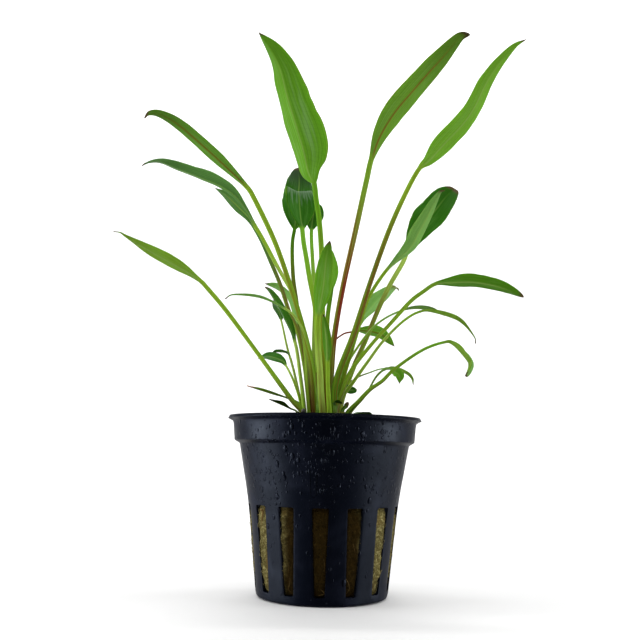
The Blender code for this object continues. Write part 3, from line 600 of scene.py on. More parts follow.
# %% [markdown]
# ## The cross section
# Width and thickness follow the leaf from foot to tip. Below the neck the section is a round stalk
# that widens into the sheath; above it the section flattens, the width swells to its widest place
# and closes at the tip. What lifts a point off the flat sheet is added up from named parts: the
# body, the fold, the cup, the wave of the margin, the rib below and the channel above.

# %% cross section
BLADE_ROUNDNESS = 0.45
WAVE_LAG = 1.9
UPPER_RIB_SHARE = 0.35
FOLD_SOFTNESS = 0.25 * MM


def leaf_size(tree, given, along):
    """Half width and half thickness along the leaf, and how much of it is blade there."""
    neck = given["Neck radius"]
    up = along.above(0.0)
    sheath = (-along).above(0.0) ** given["Sheath taper"]
    opened = ((up / given["Widest"]).below(1.0) * (math.pi / 2)).apply("SINE")
    opened = opened ** (given["Opening"] * 2.0)
    closing = ((up - given["Widest"]) / (1.0 - given["Widest"])).above(0.0).below(1.0)
    spread = opened * (closing * (math.pi / 2)).apply("COSINE").above(0.0) ** given["Closing"]
    blade = smooth(tree, up, 0.0, given["Neck share"])
    half = neck * (1.0 - up) * (1.0 - spread) + given["Width"] * 0.5 * spread
    half = half + (given["Foot half width"] - neck) * sheath
    thick = neck * (1.0 - blade) + given["Blade half thickness"] * blade
    thick = thick + (given["Foot half thickness"] - neck) * sheath
    return half.above(given["Tip half width"]), thick, blade


def leaf_lift(tree, given, at):
    """How far a point is raised off the flat sheet towards the leaf's upper side."""
    up, edge = at["along"].above(0.0), at["side"] * at["side"]
    above = maths(tree, "GREATER_THAN", at["facing"], 0.0)
    below = 1.0 - above
    blade, offset, thick = at["blade"], at["offset"], at["thick"]
    roundness = at["facing"].size() ** (1.0 - blade * BLADE_ROUNDNESS)
    body = at["facing"].apply("SIGN") * roundness * thick
    fold = (offset * offset + FOLD_SOFTNESS ** 2).apply("SQRT") - FOLD_SOFTNESS
    fold = fold * given["Fold"] * blade
    cup = given["Cup"] * at["half"] * edge * blade
    wave = at["along"] * given["Waves"] * math.tau + given["Wave start"] + at["on right"] * WAVE_LAG
    wave = wave.apply("SINE") * given["Wave height"] * edge * blade * (up * (1.0 - up) * 4.0)
    mid = (-(offset / given["Rib width"]) ** 2.0).apply("EXPONENT")
    rib = given["Rib depth"] * (below + above * UPPER_RIB_SHARE) * mid * blade * (1.0 - up)
    channel = above * (1.0 - edge) * (1.0 - blade) * given["Channel"] * thick
    return body + fold + cup + wave - rib - channel


print("cross section: fold softened over", round(FOLD_SOFTNESS / MM, 2), "mm")

# %% [markdown]
# ## The skin
# The tree itself: the grid, the guide's values, the section, the move into place and a weld of the
# two ends and the seam. The values that the finishes read are kept before the points are moved,
# because they are worked out from the flat grid.

# %% leaf skin
WELD_DISTANCE = 0.001 * MM


def leaf_tree():
    tree = bpy.data.node_groups.new("leaf_skin", "GeometryNodeTree")
    given = entries(tree, LEAF_ENTRIES, [("Leaf", "Geometry")])
    count = add_node(tree, "GeometryNodeAttributeDomainSize", {"Geometry": given["Guide"]})
    rows = Term(tree, count.outputs["Point Count"])
    sheet = add_node(tree, "GeometryNodeMeshGrid", {
        "Size X": 1.0, "Size Y": 1.0, "Vertices X": rows, "Vertices Y": given["Columns"] + 1.0})
    spot = add_node(tree, "ShaderNodeSeparateXYZ",
                    {"Vector": add_node(tree, "GeometryNodeInputPosition").outputs[0]})
    row = ((Term(tree, spot.outputs["X"]) + 0.5) * (rows - 1.0)).apply("ROUND")
    round_share = Term(tree, spot.outputs["Y"]) + 0.5

    at = guide_values(tree, given["Guide"], row)
    half, at["thick"], at["blade"] = leaf_size(tree, given, at["along"])
    cosine = (round_share * math.tau).apply("COSINE")
    at["facing"] = (round_share * math.tau).apply("SINE")
    even = (round_share * 4.0 - 2.0).size() - 1.0
    at["side"] = cosine + (even - cosine) * at["blade"]
    at["on right"] = maths(tree, "GREATER_THAN", at["side"], 0.0)
    at["half"] = half * (at["left"] + (at["right"] - at["left"]) * at["on right"])
    at["offset"] = at["side"] * at["half"]
    lift = leaf_lift(tree, given, at)

    shape = sheet.outputs["Mesh"]
    kept = {"along": at["along"], "side": at["side"], "facing": at["facing"],
            "offset": at["offset"] / MM}
    for name, value in kept.items():
        keep = add_node(tree, "GeometryNodeStoreNamedAttribute",
                        {"Geometry": shape, "Name": name}, data_type="FLOAT", domain="POINT")
        plug(tree, value, keep.inputs["Value"])
        shape = keep.outputs[0]
    moved = vectors(tree, "ADD", stretched(tree, at["across"], at["offset"] * at["swell"]),
                    stretched(tree, at["upper"], lift * at["swell"]))
    set_place = add_node(tree, "GeometryNodeSetPosition", {
        "Geometry": shape, "Position": vectors(tree, "ADD", at["centre"], moved)})
    welded = add_node(tree, "GeometryNodeMergeByDistance",
                      {"Geometry": set_place.outputs[0], "Distance": WELD_DISTANCE})
    soft = add_node(tree, "GeometryNodeSetShadeSmooth", {"Geometry": welded.outputs[0]})
    real = add_node(tree, "GeometryNodeRealizeInstances", {"Geometry": soft.outputs[0]})
    finish = add_node(tree, "GeometryNodeSetMaterial",
                      {"Geometry": real.outputs[0], "Material": given["Finish"]})
    hand_out(tree, Leaf=finish.outputs[0])
    return tree


LEAF_TREE = leaf_tree()
print("leaf tree nodes:", len(LEAF_TREE.nodes))

# %% [markdown]
# ## Leaf finish
# A leaf of this plant shows two very different sides: the upper one is a deep green, the under one a
# bright yellow green with a paler bloom beside the midrib. Some upper sides also get a painted grey
# sheen near the tip, a highlight painted into the colour. Stalks run from red brown or pale green at
# the foot to green, and old tips and margins go brown. One node group holds that plan and reads the
# values stored on the skin, so each leaf only needs its own colours. A picture could carry it too,
# but a rule stays sharp from all sides.

# %% leaf finish
LEAF_SKIN = [
    ("Upper", "Color", (0.020, 0.095, 0.008, 1)),
    ("Under", "Color", (0.115, 0.290, 0.028, 1)),
    ("Rib", "Color", (0.200, 0.330, 0.070, 1)),
    ("Foot", "Color", (0.150, 0.130, 0.030, 1)),
    ("Stalk", "Color", (0.190, 0.330, 0.050, 1)),
    ("Neck", "Color", (0.150, 0.300, 0.050, 1)),
    ("Edge", "Color", (0.090, 0.060, 0.025, 1)),
    ("Edge amount", "Float", 0.35),
    ("Tip", "Color", (0.070, 0.045, 0.020, 1)),
    ("Tip reach", "Float", 0.05),
    ("Flush", "Color", (0.125, 0.048, 0.006, 1)),
    ("Flush amount", "Float", 0.35),
    ("Bloom", "Float", 0.25),
    # Sheen: how much painted grey sheen, a highlight painted into the colour, the blade gets near its tip
    ("Sheen", "Float", 0.0),
    ("Deepen", "Float", 0.15),
    ("Mottle", "Float", 0.5),
    ("Seed", "Float", 0.0),
]


def read_value(tree, name):
    return Term(tree, add_node(tree, "ShaderNodeAttribute", attribute_name=name).outputs["Fac"])


def mixed(tree, amount, first, second, blend="MIX"):
    node = add_node(tree, "ShaderNodeMix", data_type="RGBA", blend_type=blend)
    plug(tree, amount, node.inputs["Factor"])
    plug(tree, first, node.inputs[6])
    plug(tree, second, node.inputs[7])
    return Term(tree, node.outputs[2])


def cloudy(tree, vector, scale, detail=2.0, rough=0.5):
    node = add_node(tree, "ShaderNodeTexNoise", {"Scale": scale, "Detail": detail, "Roughness": rough})
    plug(tree, vector, node.inputs["Vector"])
    return Term(tree, node.outputs["Fac"])


def joined(tree, x, y, z):
    node = add_node(tree, "ShaderNodeCombineXYZ", {"X": x, "Y": y, "Z": z})
    return Term(tree, node.outputs[0])


def leaf_places(tree, given):
    """Where a shaded point is on its leaf, and the noises that vary it, by name."""
    at = {name: read_value(tree, name) for name in ("along", "side", "facing", "offset")}
    at["up"], at["out"] = at["along"].above(0.0), at["side"].size()
    at["on upper"] = smooth(tree, at["facing"], -0.12, 0.12)
    seed = given["Seed"]
    at["cloud"] = cloudy(tree, joined(tree, at["side"] * 2.2, at["along"] * 1.1, seed), 2.4, 3.0)
    at["streak"] = cloudy(tree, joined(tree, at["offset"] * 6.0, at["along"] * 5.0, seed), 1.3, 2.0)
    broad = joined(tree, at["offset"] * 1.7 + at["facing"] * 0.8, at["along"] * 2.5, seed + 7.0)
    at["band"] = cloudy(tree, broad, 1.0, 2.0)
    place = add_node(tree, "ShaderNodeTexCoord").outputs["Object"]
    at["speck"] = cloudy(tree, place, 1500.0, 2.0, 0.6)
    return at


print("entries of the leaf finish:", len(LEAF_SKIN))

# %% [markdown]
# ## Blade and stalk colours
# The blade starts from its side's green and gets, in this order, a slow and a fine variation, the
# bloom beside the midrib, a painted grey sheen near the tip (a highlight painted into the colour),
# veins with cross wrinkles, the rib, specks, and a brown margin and tip. The stalk runs through three
# colours from foot to neck, with lengthwise bands of a second colour in its middle and thin green
# edges low down. Mixing in layers keeps each mark adjustable on its own.

# %% blade colour
BLOOM_TONE = (0.150, 0.300, 0.080, 1)
# A painted highlight: the grey of light glancing off the upper side near the tip
PAINTED_SHEEN_TONE = (0.085, 0.160, 0.075, 1)
SPECK_TONE = (0.045, 0.050, 0.014, 1)
STALK_EDGE_TONE = (0.180, 0.350, 0.020, 1)
VEIN_PAIRS, VEIN_DEPTH = 6.5, 0.24
WRINKLES, WRINKLE_DEPTH = 34.0, 0.08
RIB_REACH = 0.24


def blade_colour(tree, given, at):
    """The blade's colour, and the marks that its gloss and height need too."""
    up, out, on_upper, cloud = at["up"], at["out"], at["on upper"], at["cloud"]
    green = mixed(tree, on_upper, given["Under"], given["Upper"])
    deeper = 1.0 - given["Deepen"] * smooth(tree, up + (cloud - 0.5) * 0.3, 0.45, 0.90)
    green = stretched(tree, green, (0.58 + cloud * 0.46 + at["streak"] * 0.38) * deeper)
    bloom_place = smooth(tree, out, 0.06, 0.30) * (1.0 - smooth(tree, out, 0.45, 0.92))
    bloom_place = bloom_place * (1.0 - smooth(tree, up, 0.45, 0.95))
    bloom = bloom_place * given["Bloom"] * smooth(tree, cloud, 0.38, 0.62) * (1.0 - on_upper * 0.6)
    green = mixed(tree, bloom, green, BLOOM_TONE)
    # Painted sheen: the upper side near the tip is mixed towards grey, where the curved blade would catch
    # light at a glancing angle
    painted_sheen_place = smooth(tree, up + (cloud - 0.5) * 0.9, 0.50, 0.74) * on_upper
    green = mixed(tree, painted_sheen_place * given["Sheen"], green, PAINTED_SHEEN_TONE)

    lines = ((out * VEIN_PAIRS + at["streak"] * 0.25) * math.tau).apply("COSINE")
    veins = smooth(tree, lines, 0.55, 1.0) * (1.0 - smooth(tree, out, 0.86, 1.0))
    ladder = ((up * WRINKLES + out * 2.5 + cloud * 1.2) * math.tau).apply("SINE")
    ladder = smooth(tree, ladder, 0.80, 1.0)
    green = stretched(tree, green, 1.04 - veins * VEIN_DEPTH - ladder * WRINKLE_DEPTH)
    rib = (-(at["offset"] / RIB_REACH) ** 2.0).apply("EXPONENT") * (1.0 - smooth(tree, up, 0.55, 0.98))
    green = mixed(tree, rib * (0.75 - on_upper * 0.35), green, given["Rib"])

    spotty = smooth(tree, at["speck"], 0.66, 0.74) * given["Mottle"]
    green = mixed(tree, spotty * 0.45, green, SPECK_TONE)
    rim_place = smooth(tree, out + (cloud - 0.5) * 0.30, 0.90, 1.04)
    green = mixed(tree, rim_place * given["Edge amount"], green, given["Edge"])
    tip_start, tip_end = 1.0 - given["Tip reach"] * 1.6, 1.0 - given["Tip reach"] * 0.5
    tip_place = smooth(tree, at["along"] + (cloud - 0.5) * 0.06 + (out - 0.5) * 0.03, tip_start, tip_end)
    green = mixed(tree, tip_place, green, given["Tip"])
    return green, {"bloom": bloom, "spotty": spotty, "tip": tip_place, "lines": lines, "ladder": ladder}


def stalk_colour(tree, given, at):
    along, out, streak = at["along"], at["out"], at["streak"]
    low = smooth(tree, along + (streak - 0.5) * 0.25, -0.93, -0.60)
    high = smooth(tree, along + (streak - 0.5) * 0.20, -0.45, -0.05)
    stalk = mixed(tree, low, given["Foot"], given["Stalk"])
    stalk = mixed(tree, high, stalk, given["Neck"])
    flushed = smooth(tree, at["band"] + (streak - 0.5) * 0.30, 0.44, 0.58) * given["Flush amount"]
    flushed = flushed * (1.0 - smooth(tree, along, -0.45, -0.05) * 0.8)
    flushed = flushed * (1.0 - smooth(tree, out, 0.60, 0.90) * 0.7)
    stalk = mixed(tree, flushed, stalk, given["Flush"])
    stalk = stretched(tree, stalk, 0.55 + streak * 0.90)
    thin = smooth(tree, out, 0.66, 0.95) * (1.0 - smooth(tree, along, -0.70, -0.20))
    return mixed(tree, thin * 0.55, stalk, STALK_EDGE_TONE)


print("veins on each half of a blade:", VEIN_PAIRS, "wrinkles along it:", WRINKLES)

# %% [markdown]
# ## One group for all leaves
# A group with named inputs joins blade and stalk at the neck and works out gloss and height. Each
# leaf's material is then one group and one bump, and only the inputs differ.

# %% leaf materials
LEAF_BUMP, LEAF_BUMP_HEIGHT = 0.3, 0.10 * MM
LEAF_SPECULAR = 0.025


def leaf_finish_group():
    tree = bpy.data.node_groups.new("leaf_finish", "ShaderNodeTree")
    given = entries(tree, LEAF_SKIN, [("Colour", "Color"), ("Roughness", "Float"), ("Height", "Float")])
    at = leaf_places(tree, given)
    on_blade = smooth(tree, at["along"], -0.02, 0.07)
    green, marks = blade_colour(tree, given, at)
    colour = mixed(tree, on_blade, stalk_colour(tree, given, at), green)
    gloss = 0.46 - at["on upper"] * 0.10 + marks["bloom"] * 0.15 + marks["spotty"] * 0.2 + marks["tip"] * 0.15
    height = (marks["lines"] * 0.25 + marks["ladder"] * 0.30) * on_blade + at["streak"] * 0.35
    hand_out(tree, Colour=colour, Roughness=gloss, Height=height)
    return tree


LEAF_FINISH = leaf_finish_group()


def new_material(name):
    material = bpy.data.materials.new(name)
    material.use_nodes = True
    return material, material.node_tree, material.node_tree.nodes["Principled BSDF"]


def colour(*parts):
    return (*parts, 1.0)


def leaf_material(name, seed, looks):
    material, tree, shader = new_material(name)
    group = add_node(tree, "ShaderNodeGroup", node_tree=LEAF_FINISH)
    for entry, value in looks.items():
        group.inputs[entry.replace("_", " ")].default_value = value
    group.inputs["Seed"].default_value = seed
    bump = add_node(tree, "ShaderNodeBump", {"Height": group.outputs["Height"],
                                             "Strength": LEAF_BUMP, "Distance": LEAF_BUMP_HEIGHT})
    plug(tree, group.outputs["Colour"], shader.inputs["Base Color"])
    plug(tree, group.outputs["Roughness"], shader.inputs["Roughness"])
    plug(tree, bump.outputs["Normal"], shader.inputs["Normal"])
    shader.inputs["Specular IOR Level"].default_value = LEAF_SPECULAR
    shader.inputs["Subsurface Weight"].default_value = 0.12
    shader.inputs["Subsurface Radius"].default_value = (0.5, 0.9, 0.2)
    shader.inputs["Subsurface Scale"].default_value = 0.6 * MM
    return material


print("leaf finish nodes:", len(LEAF_FINISH.nodes))

# %% [markdown]
# ## Each leaf's own colours
# The colours are linear values, matched by sampling single tones of the photograph. A leaf names
# only what differs from the group's own values.

# %% leaf looks
DEEP = colour(0.020, 0.105, 0.003)
DARK = colour(0.028, 0.080, 0.004)
SLATE = colour(0.066, 0.172, 0.034)
MIDDLE = colour(0.060, 0.185, 0.006)
BRIGHT = colour(0.100, 0.275, 0.012)
FRESH = colour(0.132, 0.320, 0.019)
FROSTED = colour(0.140, 0.310, 0.062)
LIME = colour(0.150, 0.285, 0.020)
YELLOW = colour(0.190, 0.330, 0.020)
PALE = colour(0.285, 0.420, 0.070)
OLIVE = colour(0.105, 0.120, 0.014)
RUST = colour(0.135, 0.050, 0.006)
BROWN = colour(0.062, 0.034, 0.004)
RED = colour(0.185, 0.026, 0.012)
PINK = colour(0.440, 0.230, 0.150)
DARK_TIP = colour(0.042, 0.030, 0.010)

LOOKS = {
    # The Sheen amounts below set a painted grey highlight near the tip, not a colour of the leaf
    "leaf_tall_front": dict(Under=BRIGHT, Foot=BROWN, Stalk=YELLOW, Neck=BRIGHT, Edge=OLIVE, Edge_amount=0.5,
                            Tip_reach=0.025, Bloom=0.7, Deepen=0.20),
    "leaf_upper_left": dict(Under=colour(0.095, 0.235, 0.022), Foot=BROWN, Stalk=YELLOW, Neck=YELLOW,
                            Rib=RUST, Edge=RUST, Edge_amount=0.75, Tip_reach=0.05, Deepen=0.4,
                            Flush_amount=0.5),
    "leaf_left_folded": dict(Upper=SLATE, Under=SLATE, Foot=BROWN, Stalk=PALE, Neck=YELLOW, Deepen=0.3,
                             Tip_reach=0.02, Flush_amount=0.5),
    "leaf_left_behind": dict(Upper=SLATE, Under=SLATE, Foot=BROWN, Stalk=OLIVE, Neck=SLATE, Rib=PALE,
                             Tip_reach=0.03),
    "leaf_far_left": dict(Under=LIME, Upper=BRIGHT, Foot=OLIVE, Stalk=YELLOW, Neck=YELLOW, Tip_reach=0.03,
                          Flush_amount=0.1),
    "leaf_back_oval": dict(Upper=DEEP, Under=MIDDLE, Foot=RUST, Stalk=OLIVE, Neck=MIDDLE, Sheen=0.1,
                           Edge=MIDDLE, Deepen=0.75),
    "leaf_back_rounded": dict(Upper=DEEP, Under=MIDDLE, Stalk=YELLOW, Neck=FRESH, Sheen=0.9, Edge=MIDDLE,
                              Edge_amount=0.6, Flush_amount=0.0),
    "leaf_back_small": dict(Upper=DEEP, Under=MIDDLE, Foot=OLIVE, Stalk=PALE, Neck=FRESH, Edge=LIME,
                            Flush_amount=0.1),
    "leaf_tall_right": dict(Under=colour(0.118, 0.262, 0.022), Foot=OLIVE, Stalk=RED, Neck=LIME, Rib=RED,
                            Edge=RUST, Edge_amount=0.7, Tip=DARK_TIP, Tip_reach=0.05, Deepen=0.35,
                            Flush=PALE, Flush_amount=0.55),
    "leaf_far_right_tall": dict(Under=FRESH, Upper=BRIGHT, Foot=MIDDLE, Stalk=OLIVE, Neck=YELLOW,
                                Flush=RUST, Flush_amount=0.8, Tip_reach=0.03, Edge_amount=0.5, Deepen=0.1),
    "leaf_right_narrow": dict(Under=FROSTED, Upper=BRIGHT, Stalk=YELLOW, Neck=YELLOW),
    "leaf_right_dark": dict(Under=FROSTED, Upper=DEEP, Foot=OLIVE, Stalk=OLIVE, Neck=PALE, Flush_amount=0.6),
    "leaf_right_arching": dict(Under=MIDDLE, Upper=MIDDLE, Foot=OLIVE, Stalk=YELLOW, Neck=LIME),
    "leaf_right_olive": dict(Under=colour(0.088, 0.190, 0.030), Upper=MIDDLE, Foot=OLIVE, Stalk=LIME,
                             Edge_amount=0.6),
    "leaf_right_hooked": dict(Under=LIME, Upper=MIDDLE, Stalk=PALE, Neck=LIME),
    "leaf_right_drooping": dict(Under=LIME, Upper=FROSTED, Foot=DARK, Stalk=LIME, Neck=FRESH),
    "leaf_low_right_thin": dict(Under=LIME, Upper=BRIGHT, Foot=MIDDLE, Stalk=OLIVE),
    "leaf_low_right_small": dict(Under=LIME, Upper=BRIGHT, Stalk=LIME),
    "leaf_mid_right": dict(Under=BRIGHT, Upper=BRIGHT, Foot=YELLOW, Stalk=RED, Neck=RED, Rib=RUST,
                           Flush=PALE, Flush_amount=0.3),
    "leaf_mid_right_curled": dict(Under=FROSTED, Upper=FROSTED, Foot=DARK, Stalk=OLIVE, Tip=OLIVE,
                                  Tip_reach=0.14),
    "leaf_centre_bright": dict(Under=BRIGHT, Foot=OLIVE, Stalk=PALE, Neck=YELLOW, Bloom=0.4, Deepen=0.3),
    "leaf_centre_dark": dict(Under=BRIGHT, Upper=BRIGHT, Foot=BROWN, Stalk=YELLOW, Neck=MIDDLE),
    "leaf_centre_low": dict(Under=MIDDLE, Upper=MIDDLE, Foot=OLIVE, Stalk=YELLOW, Neck=YELLOW, Tip=DARK_TIP,
                            Tip_reach=0.05, Edge=RUST, Edge_amount=0.7, Flush_amount=0.1),
    "leaf_inner_left_dark": dict(Upper=colour(0.030, 0.130, 0.004), Under=DEEP, Foot=YELLOW, Stalk=PALE,
                                 Neck=PALE, Edge=LIME, Flush_amount=0.1),
    "leaf_inner_left_bright": dict(Under=FROSTED, Upper=BRIGHT, Foot=OLIVE, Stalk=OLIVE, Neck=OLIVE),
    "leaf_inner_left_grey": dict(Under=DEEP, Upper=DEEP, Foot=MIDDLE, Stalk=PALE, Neck=PALE, Sheen=0.6),
    "leaf_left_thin_arch": dict(Under=FROSTED, Upper=FROSTED, Foot=DARK, Stalk=LIME, Neck=PALE),
    "leaf_low_left_spotted": dict(Under=DEEP, Upper=DEEP, Stalk=YELLOW, Neck=PALE, Mottle=1.0),
    "leaf_low_left_edge_on": dict(Under=DEEP, Upper=DEEP, Foot=DARK, Stalk=PALE, Neck=PALE),
    "leaf_low_left_pink": dict(Under=LIME, Upper=LIME, Foot=MIDDLE, Stalk=LIME, Tip=PINK, Tip_reach=0.15),
    "leaf_low_left_dark": dict(Under=DARK, Upper=DARK, Stalk=OLIVE),
    "leaf_crown_right": dict(Under=DEEP, Upper=DEEP, Foot=OLIVE, Stalk=OLIVE),
    "leaf_crown_folded": dict(Under=DARK, Upper=DARK, Foot=PINK, Stalk=OLIVE),
    "old_sheath_right": dict(Under=DARK, Upper=DARK, Foot=BROWN, Stalk=OLIVE, Neck=OLIVE, Tip_reach=0.3),
    "leaf_low_back": dict(Under=DARK, Upper=DARK, Foot=BROWN, Stalk=MIDDLE),
    "scale_leaf_centre": dict(Under=DARK, Upper=DARK, Foot=MIDDLE, Stalk=MIDDLE, Tip=OLIVE, Tip_reach=0.5),
}

print("leaves with looks of their own:", len(LOOKS))

# %% [markdown]
# ## Growing the leaves
# Each guide goes through the tree with its own row of the table. The finished skin stands for the
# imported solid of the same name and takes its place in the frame.

# %% leaves
FOOT_THICKNESS_LIMIT = 0.9 * MM
CUP = 0.05
WAVE_HEIGHT_SHARE, WAVE_EVERY, WAVES_AT_LEAST = 0.022, 12.0 * MM, 2.0
RIB_DEPTH_SHARE = 0.05

grown_triangles = 0
for number, leaf in enumerate(LEAVES):
    seed = 1.7 * number + 0.6
    guide, blade_length = guide_mesh(leaf, seed)
    widest, opening, closing = leaf.form
    foot, neck = (value * MM for value in leaf.stalk_radius)
    material = leaf_material(leaf.name + "_finish", seed, LOOKS[leaf.name])
    piece = grow(leaf.name + "_grown", guide, LEAF_TREE, {
        "Width": leaf.width * MM,
        "Foot half width": foot,
        "Foot half thickness": max(neck, min(foot, FOOT_THICKNESS_LIMIT)),
        "Neck radius": neck,
        "Widest": widest,
        "Opening": opening,
        "Closing": closing,
        "Fold": math.tan(math.radians(leaf.fold)),
        "Cup": CUP,
        "Wave height": WAVE_HEIGHT_SHARE * leaf.width * MM,
        "Waves": max(WAVES_AT_LEAST, blade_length / WAVE_EVERY),
        "Wave start": seed,
        "Rib depth": RIB_DEPTH_SHARE * leaf.width * MM,
        "Finish": material,
    })
    seen_out(piece.data)
    slot_name = "leaf_green" if leaf.name.startswith("leaf") else "old_leaf"
    hand_in(piece, slot_name, leaf.name)
    grown_triangles += sum(len(face.vertices) - 2 for face in piece.data.polygons)
print("leaves grown:", len(LEAVES), "triangles:", grown_triangles)

# %% [markdown]
# ## The net pot
# The real pot is pressed from one thin sheet of black plastic: a flared lip, a short collar, a step
# in, a tapered body with fourteen slots and a floor with seven drains. So it is made as a sheet too:
# rows follow the outer profile, columns follow the slot edges, the slot faces are left out, and the
# sheet gets its thickness and softened edges at the end. Cutting the slots with a Boolean would
# leave long thin faces that catch the light.

# %% pot profile
WALL = 0.9 * MM
SLOT_COUNT = 14
SLOT_PHASE = math.radians(-2.3)
SLOT_TOP_Z, SLOT_BOTTOM_Z = 25.0 * MM, 2.4 * MM
SLOT_TOP_WIDTH, SLOT_BOTTOM_WIDTH = 4.6 * MM, 2.8 * MM
SLOT_CORNER = 0.45 * MM
DRAIN_WIDTH, DRAIN_INNER, DRAIN_OUTER = 2.4 * MM, 6.5 * MM, 14.5 * MM
FOOT_RADIUS, FOOT_Z = 18.3 * MM, 1.6 * MM
WAIST_RADIUS, WAIST_Z = 20.9 * MM, 25.2 * MM
BODY_TOP_RADIUS, BODY_TOP_Z = 23.7 * MM, 41.0 * MM
COLLAR_RADIUS, COLLAR_Z = 25.3 * MM, 42.2 * MM
SLOT_COLUMNS, RIB_COLUMNS = 6, 9

# Corners of the outer profile as (radius, height, rounding), from the lip down to the axis
PROFILE = [
    (27.45, 48.35, 0.0), (26.75, 48.0, 0.5), (26.0, 47.6, 0.5), (25.8, 46.4, 0.6), (25.45, 42.3, 0.16),
    (23.95, 41.45, 0.30), (20.9, 25.2, 6.0), (18.3, 1.6, 0.0), (18.0, 0.35, 1.0), (16.6, 0.0, 0.5),
    (0.6, 0.0, 0.0),
]


def rounded(corners, steps=5):
    """The profile with each corner replaced by a short arc of its own size."""
    points = [Vector((r, z)) * MM for r, z, soft in corners]
    line = [points[0]]
    for before, corner, after, (r, z, soft) in zip(points, points[1:], points[2:], corners[1:]):
        back, ahead = before - corner, after - corner
        reach = min(soft * MM, back.length * 0.45, ahead.length * 0.45)
        if reach == 0.0:
            line.append(corner)
            continue
        start, end = corner + back.normalized() * reach, corner + ahead.normalized() * reach
        for step in range(steps + 1):
            t = step / steps
            line.append(start * (1 - t) ** 2 + corner * 2 * t * (1 - t) + end * t * t)
    line.append(points[-1])
    return line


def spaced(line, longest, stops):
    """The same line with extra points, so that no span is longer than allowed, and at the stops."""
    fine = [line[0]]
    for first, second in zip(line, line[1:]):
        pieces = max(1, math.ceil((second - first).length / longest))
        shares = {step / pieces for step in range(1, pieces + 1)}
        for stop in stops:
            if second.y < stop < first.y:
                shares.add((first.y - stop) / (first.y - second.y))
        kept = [0.0]
        for share in sorted(shares):
            if share - kept[-1] > 0.01:
                kept.append(share)
                fine.append(first.lerp(second, share))
    return fine


print("pot profile corners:", len(PROFILE))

# %% [markdown]
# ## Slots in the sheet
# Every row of the sheet crosses the slots at its own height, so the columns beside a slot move in and
# out with its edge and round its corners. Where a row is open, the faces between the edges are left
# out. The floor gets its drains in the same way, one for every second slot.

# %% pot sheet
WIDEST_SLOT_SHARE = 0.42
SHEET_STEP = 1.1 * MM
FLOOR_RINGS, FLOOR_EDGE, FLOOR_MIDDLE = 22, 16.0, 0.6
LEVEL = 0.0005 * MM


def slot_half_width(radius, height):
    """Half the slot's width where a row crosses it, with rounded corners, and whether it is open."""
    if height > FOOT_Z * 0.6:
        share = (height - SLOT_BOTTOM_Z) / (SLOT_TOP_Z - SLOT_BOTTOM_Z)
        half = (SLOT_BOTTOM_WIDTH + (SLOT_TOP_WIDTH - SLOT_BOTTOM_WIDTH) * min(max(share, 0), 1)) / 2
        inside = min(height - SLOT_BOTTOM_Z, SLOT_TOP_Z - height)
        if inside < -LEVEL:
            return half, False
        if inside < SLOT_CORNER:
            half -= SLOT_CORNER - math.sqrt(max(SLOT_CORNER ** 2 - (SLOT_CORNER - inside) ** 2, 0.0))
        return half, True
    half = DRAIN_WIDTH / 2
    return half * min(1.0, radius / DRAIN_INNER), DRAIN_INNER < radius < DRAIN_OUTER


def pot_sheet():
    stops = [SLOT_TOP_Z, SLOT_BOTTOM_Z]
    for step in (0.08, 0.2, 0.45):
        stops += [SLOT_TOP_Z - step * MM, SLOT_BOTTOM_Z + step * MM]
    line = spaced(rounded(PROFILE), SHEET_STEP, stops)
    floor_stops = [DRAIN_OUTER, DRAIN_INNER]
    line = [point for point in line if not (point.y < 2 * LEVEL and point.x < FLOOR_EDGE * MM)]
    line += [Vector((radius, 0.0)) for radius in np.linspace(FLOOR_EDGE, FLOOR_MIDDLE, FLOOR_RINGS) * MM]
    for stop in floor_stops:
        line.append(Vector((stop, 0.0)))
    outer = [point for point in line if point.y > LEVEL]
    base = sorted((p for p in line if p.y <= LEVEL), key=lambda p: -p.x)
    line = outer + base

    period = math.tau / SLOT_COUNT
    bm = bmesh.new()
    rings, open_rows = [], []
    for point in line:
        radius, height = point.x, point.y
        half, is_open = slot_half_width(radius, height)
        half_angle = min(half / radius, period * WIDEST_SLOT_SHARE)
        ring = []
        for slot in range(SLOT_COUNT):
            middle = SLOT_PHASE + slot * period
            shares = [-1 + 2 * i / SLOT_COLUMNS for i in range(SLOT_COLUMNS)]
            angles = [middle + half_angle * share for share in shares]
            rib = period - 2 * half_angle
            angles += [middle + half_angle + rib * i / RIB_COLUMNS for i in range(RIB_COLUMNS)]
            for angle in angles:
                ring.append(bm.verts.new((radius * math.sin(angle), -radius * math.cos(angle), height)))
        rings.append(ring)
        open_rows.append((is_open, height > FOOT_Z * 0.6))
    count = len(rings[0])
    per_slot = SLOT_COLUMNS + RIB_COLUMNS
    for row, (upper, lower) in enumerate(zip(rings, rings[1:])):
        first, second = open_rows[row], open_rows[row + 1]
        for index in range(count):
            slot, column = divmod(index, per_slot)
            if first[0] and second[0] and first[1] == second[1] and column < SLOT_COLUMNS:
                if first[1] or slot % 2 == 0:
                    continue
            after = (index + 1) % count
            bm.faces.new((upper[index], upper[after], lower[after], lower[index]))
    base_face = bm.faces.new(rings[-1])
    bmesh.ops.recalc_face_normals(bm, faces=bm.faces)
    if base_face.normal.z > 0:
        bmesh.ops.reverse_faces(bm, faces=bm.faces)
    loose = [vert for vert in bm.verts if not vert.link_faces]
    bmesh.ops.delete(bm, geom=loose, context="VERTS")
    mesh = bpy.data.meshes.new("pot_sheet")
    bm.to_mesh(mesh)
    bm.free()
    return mesh


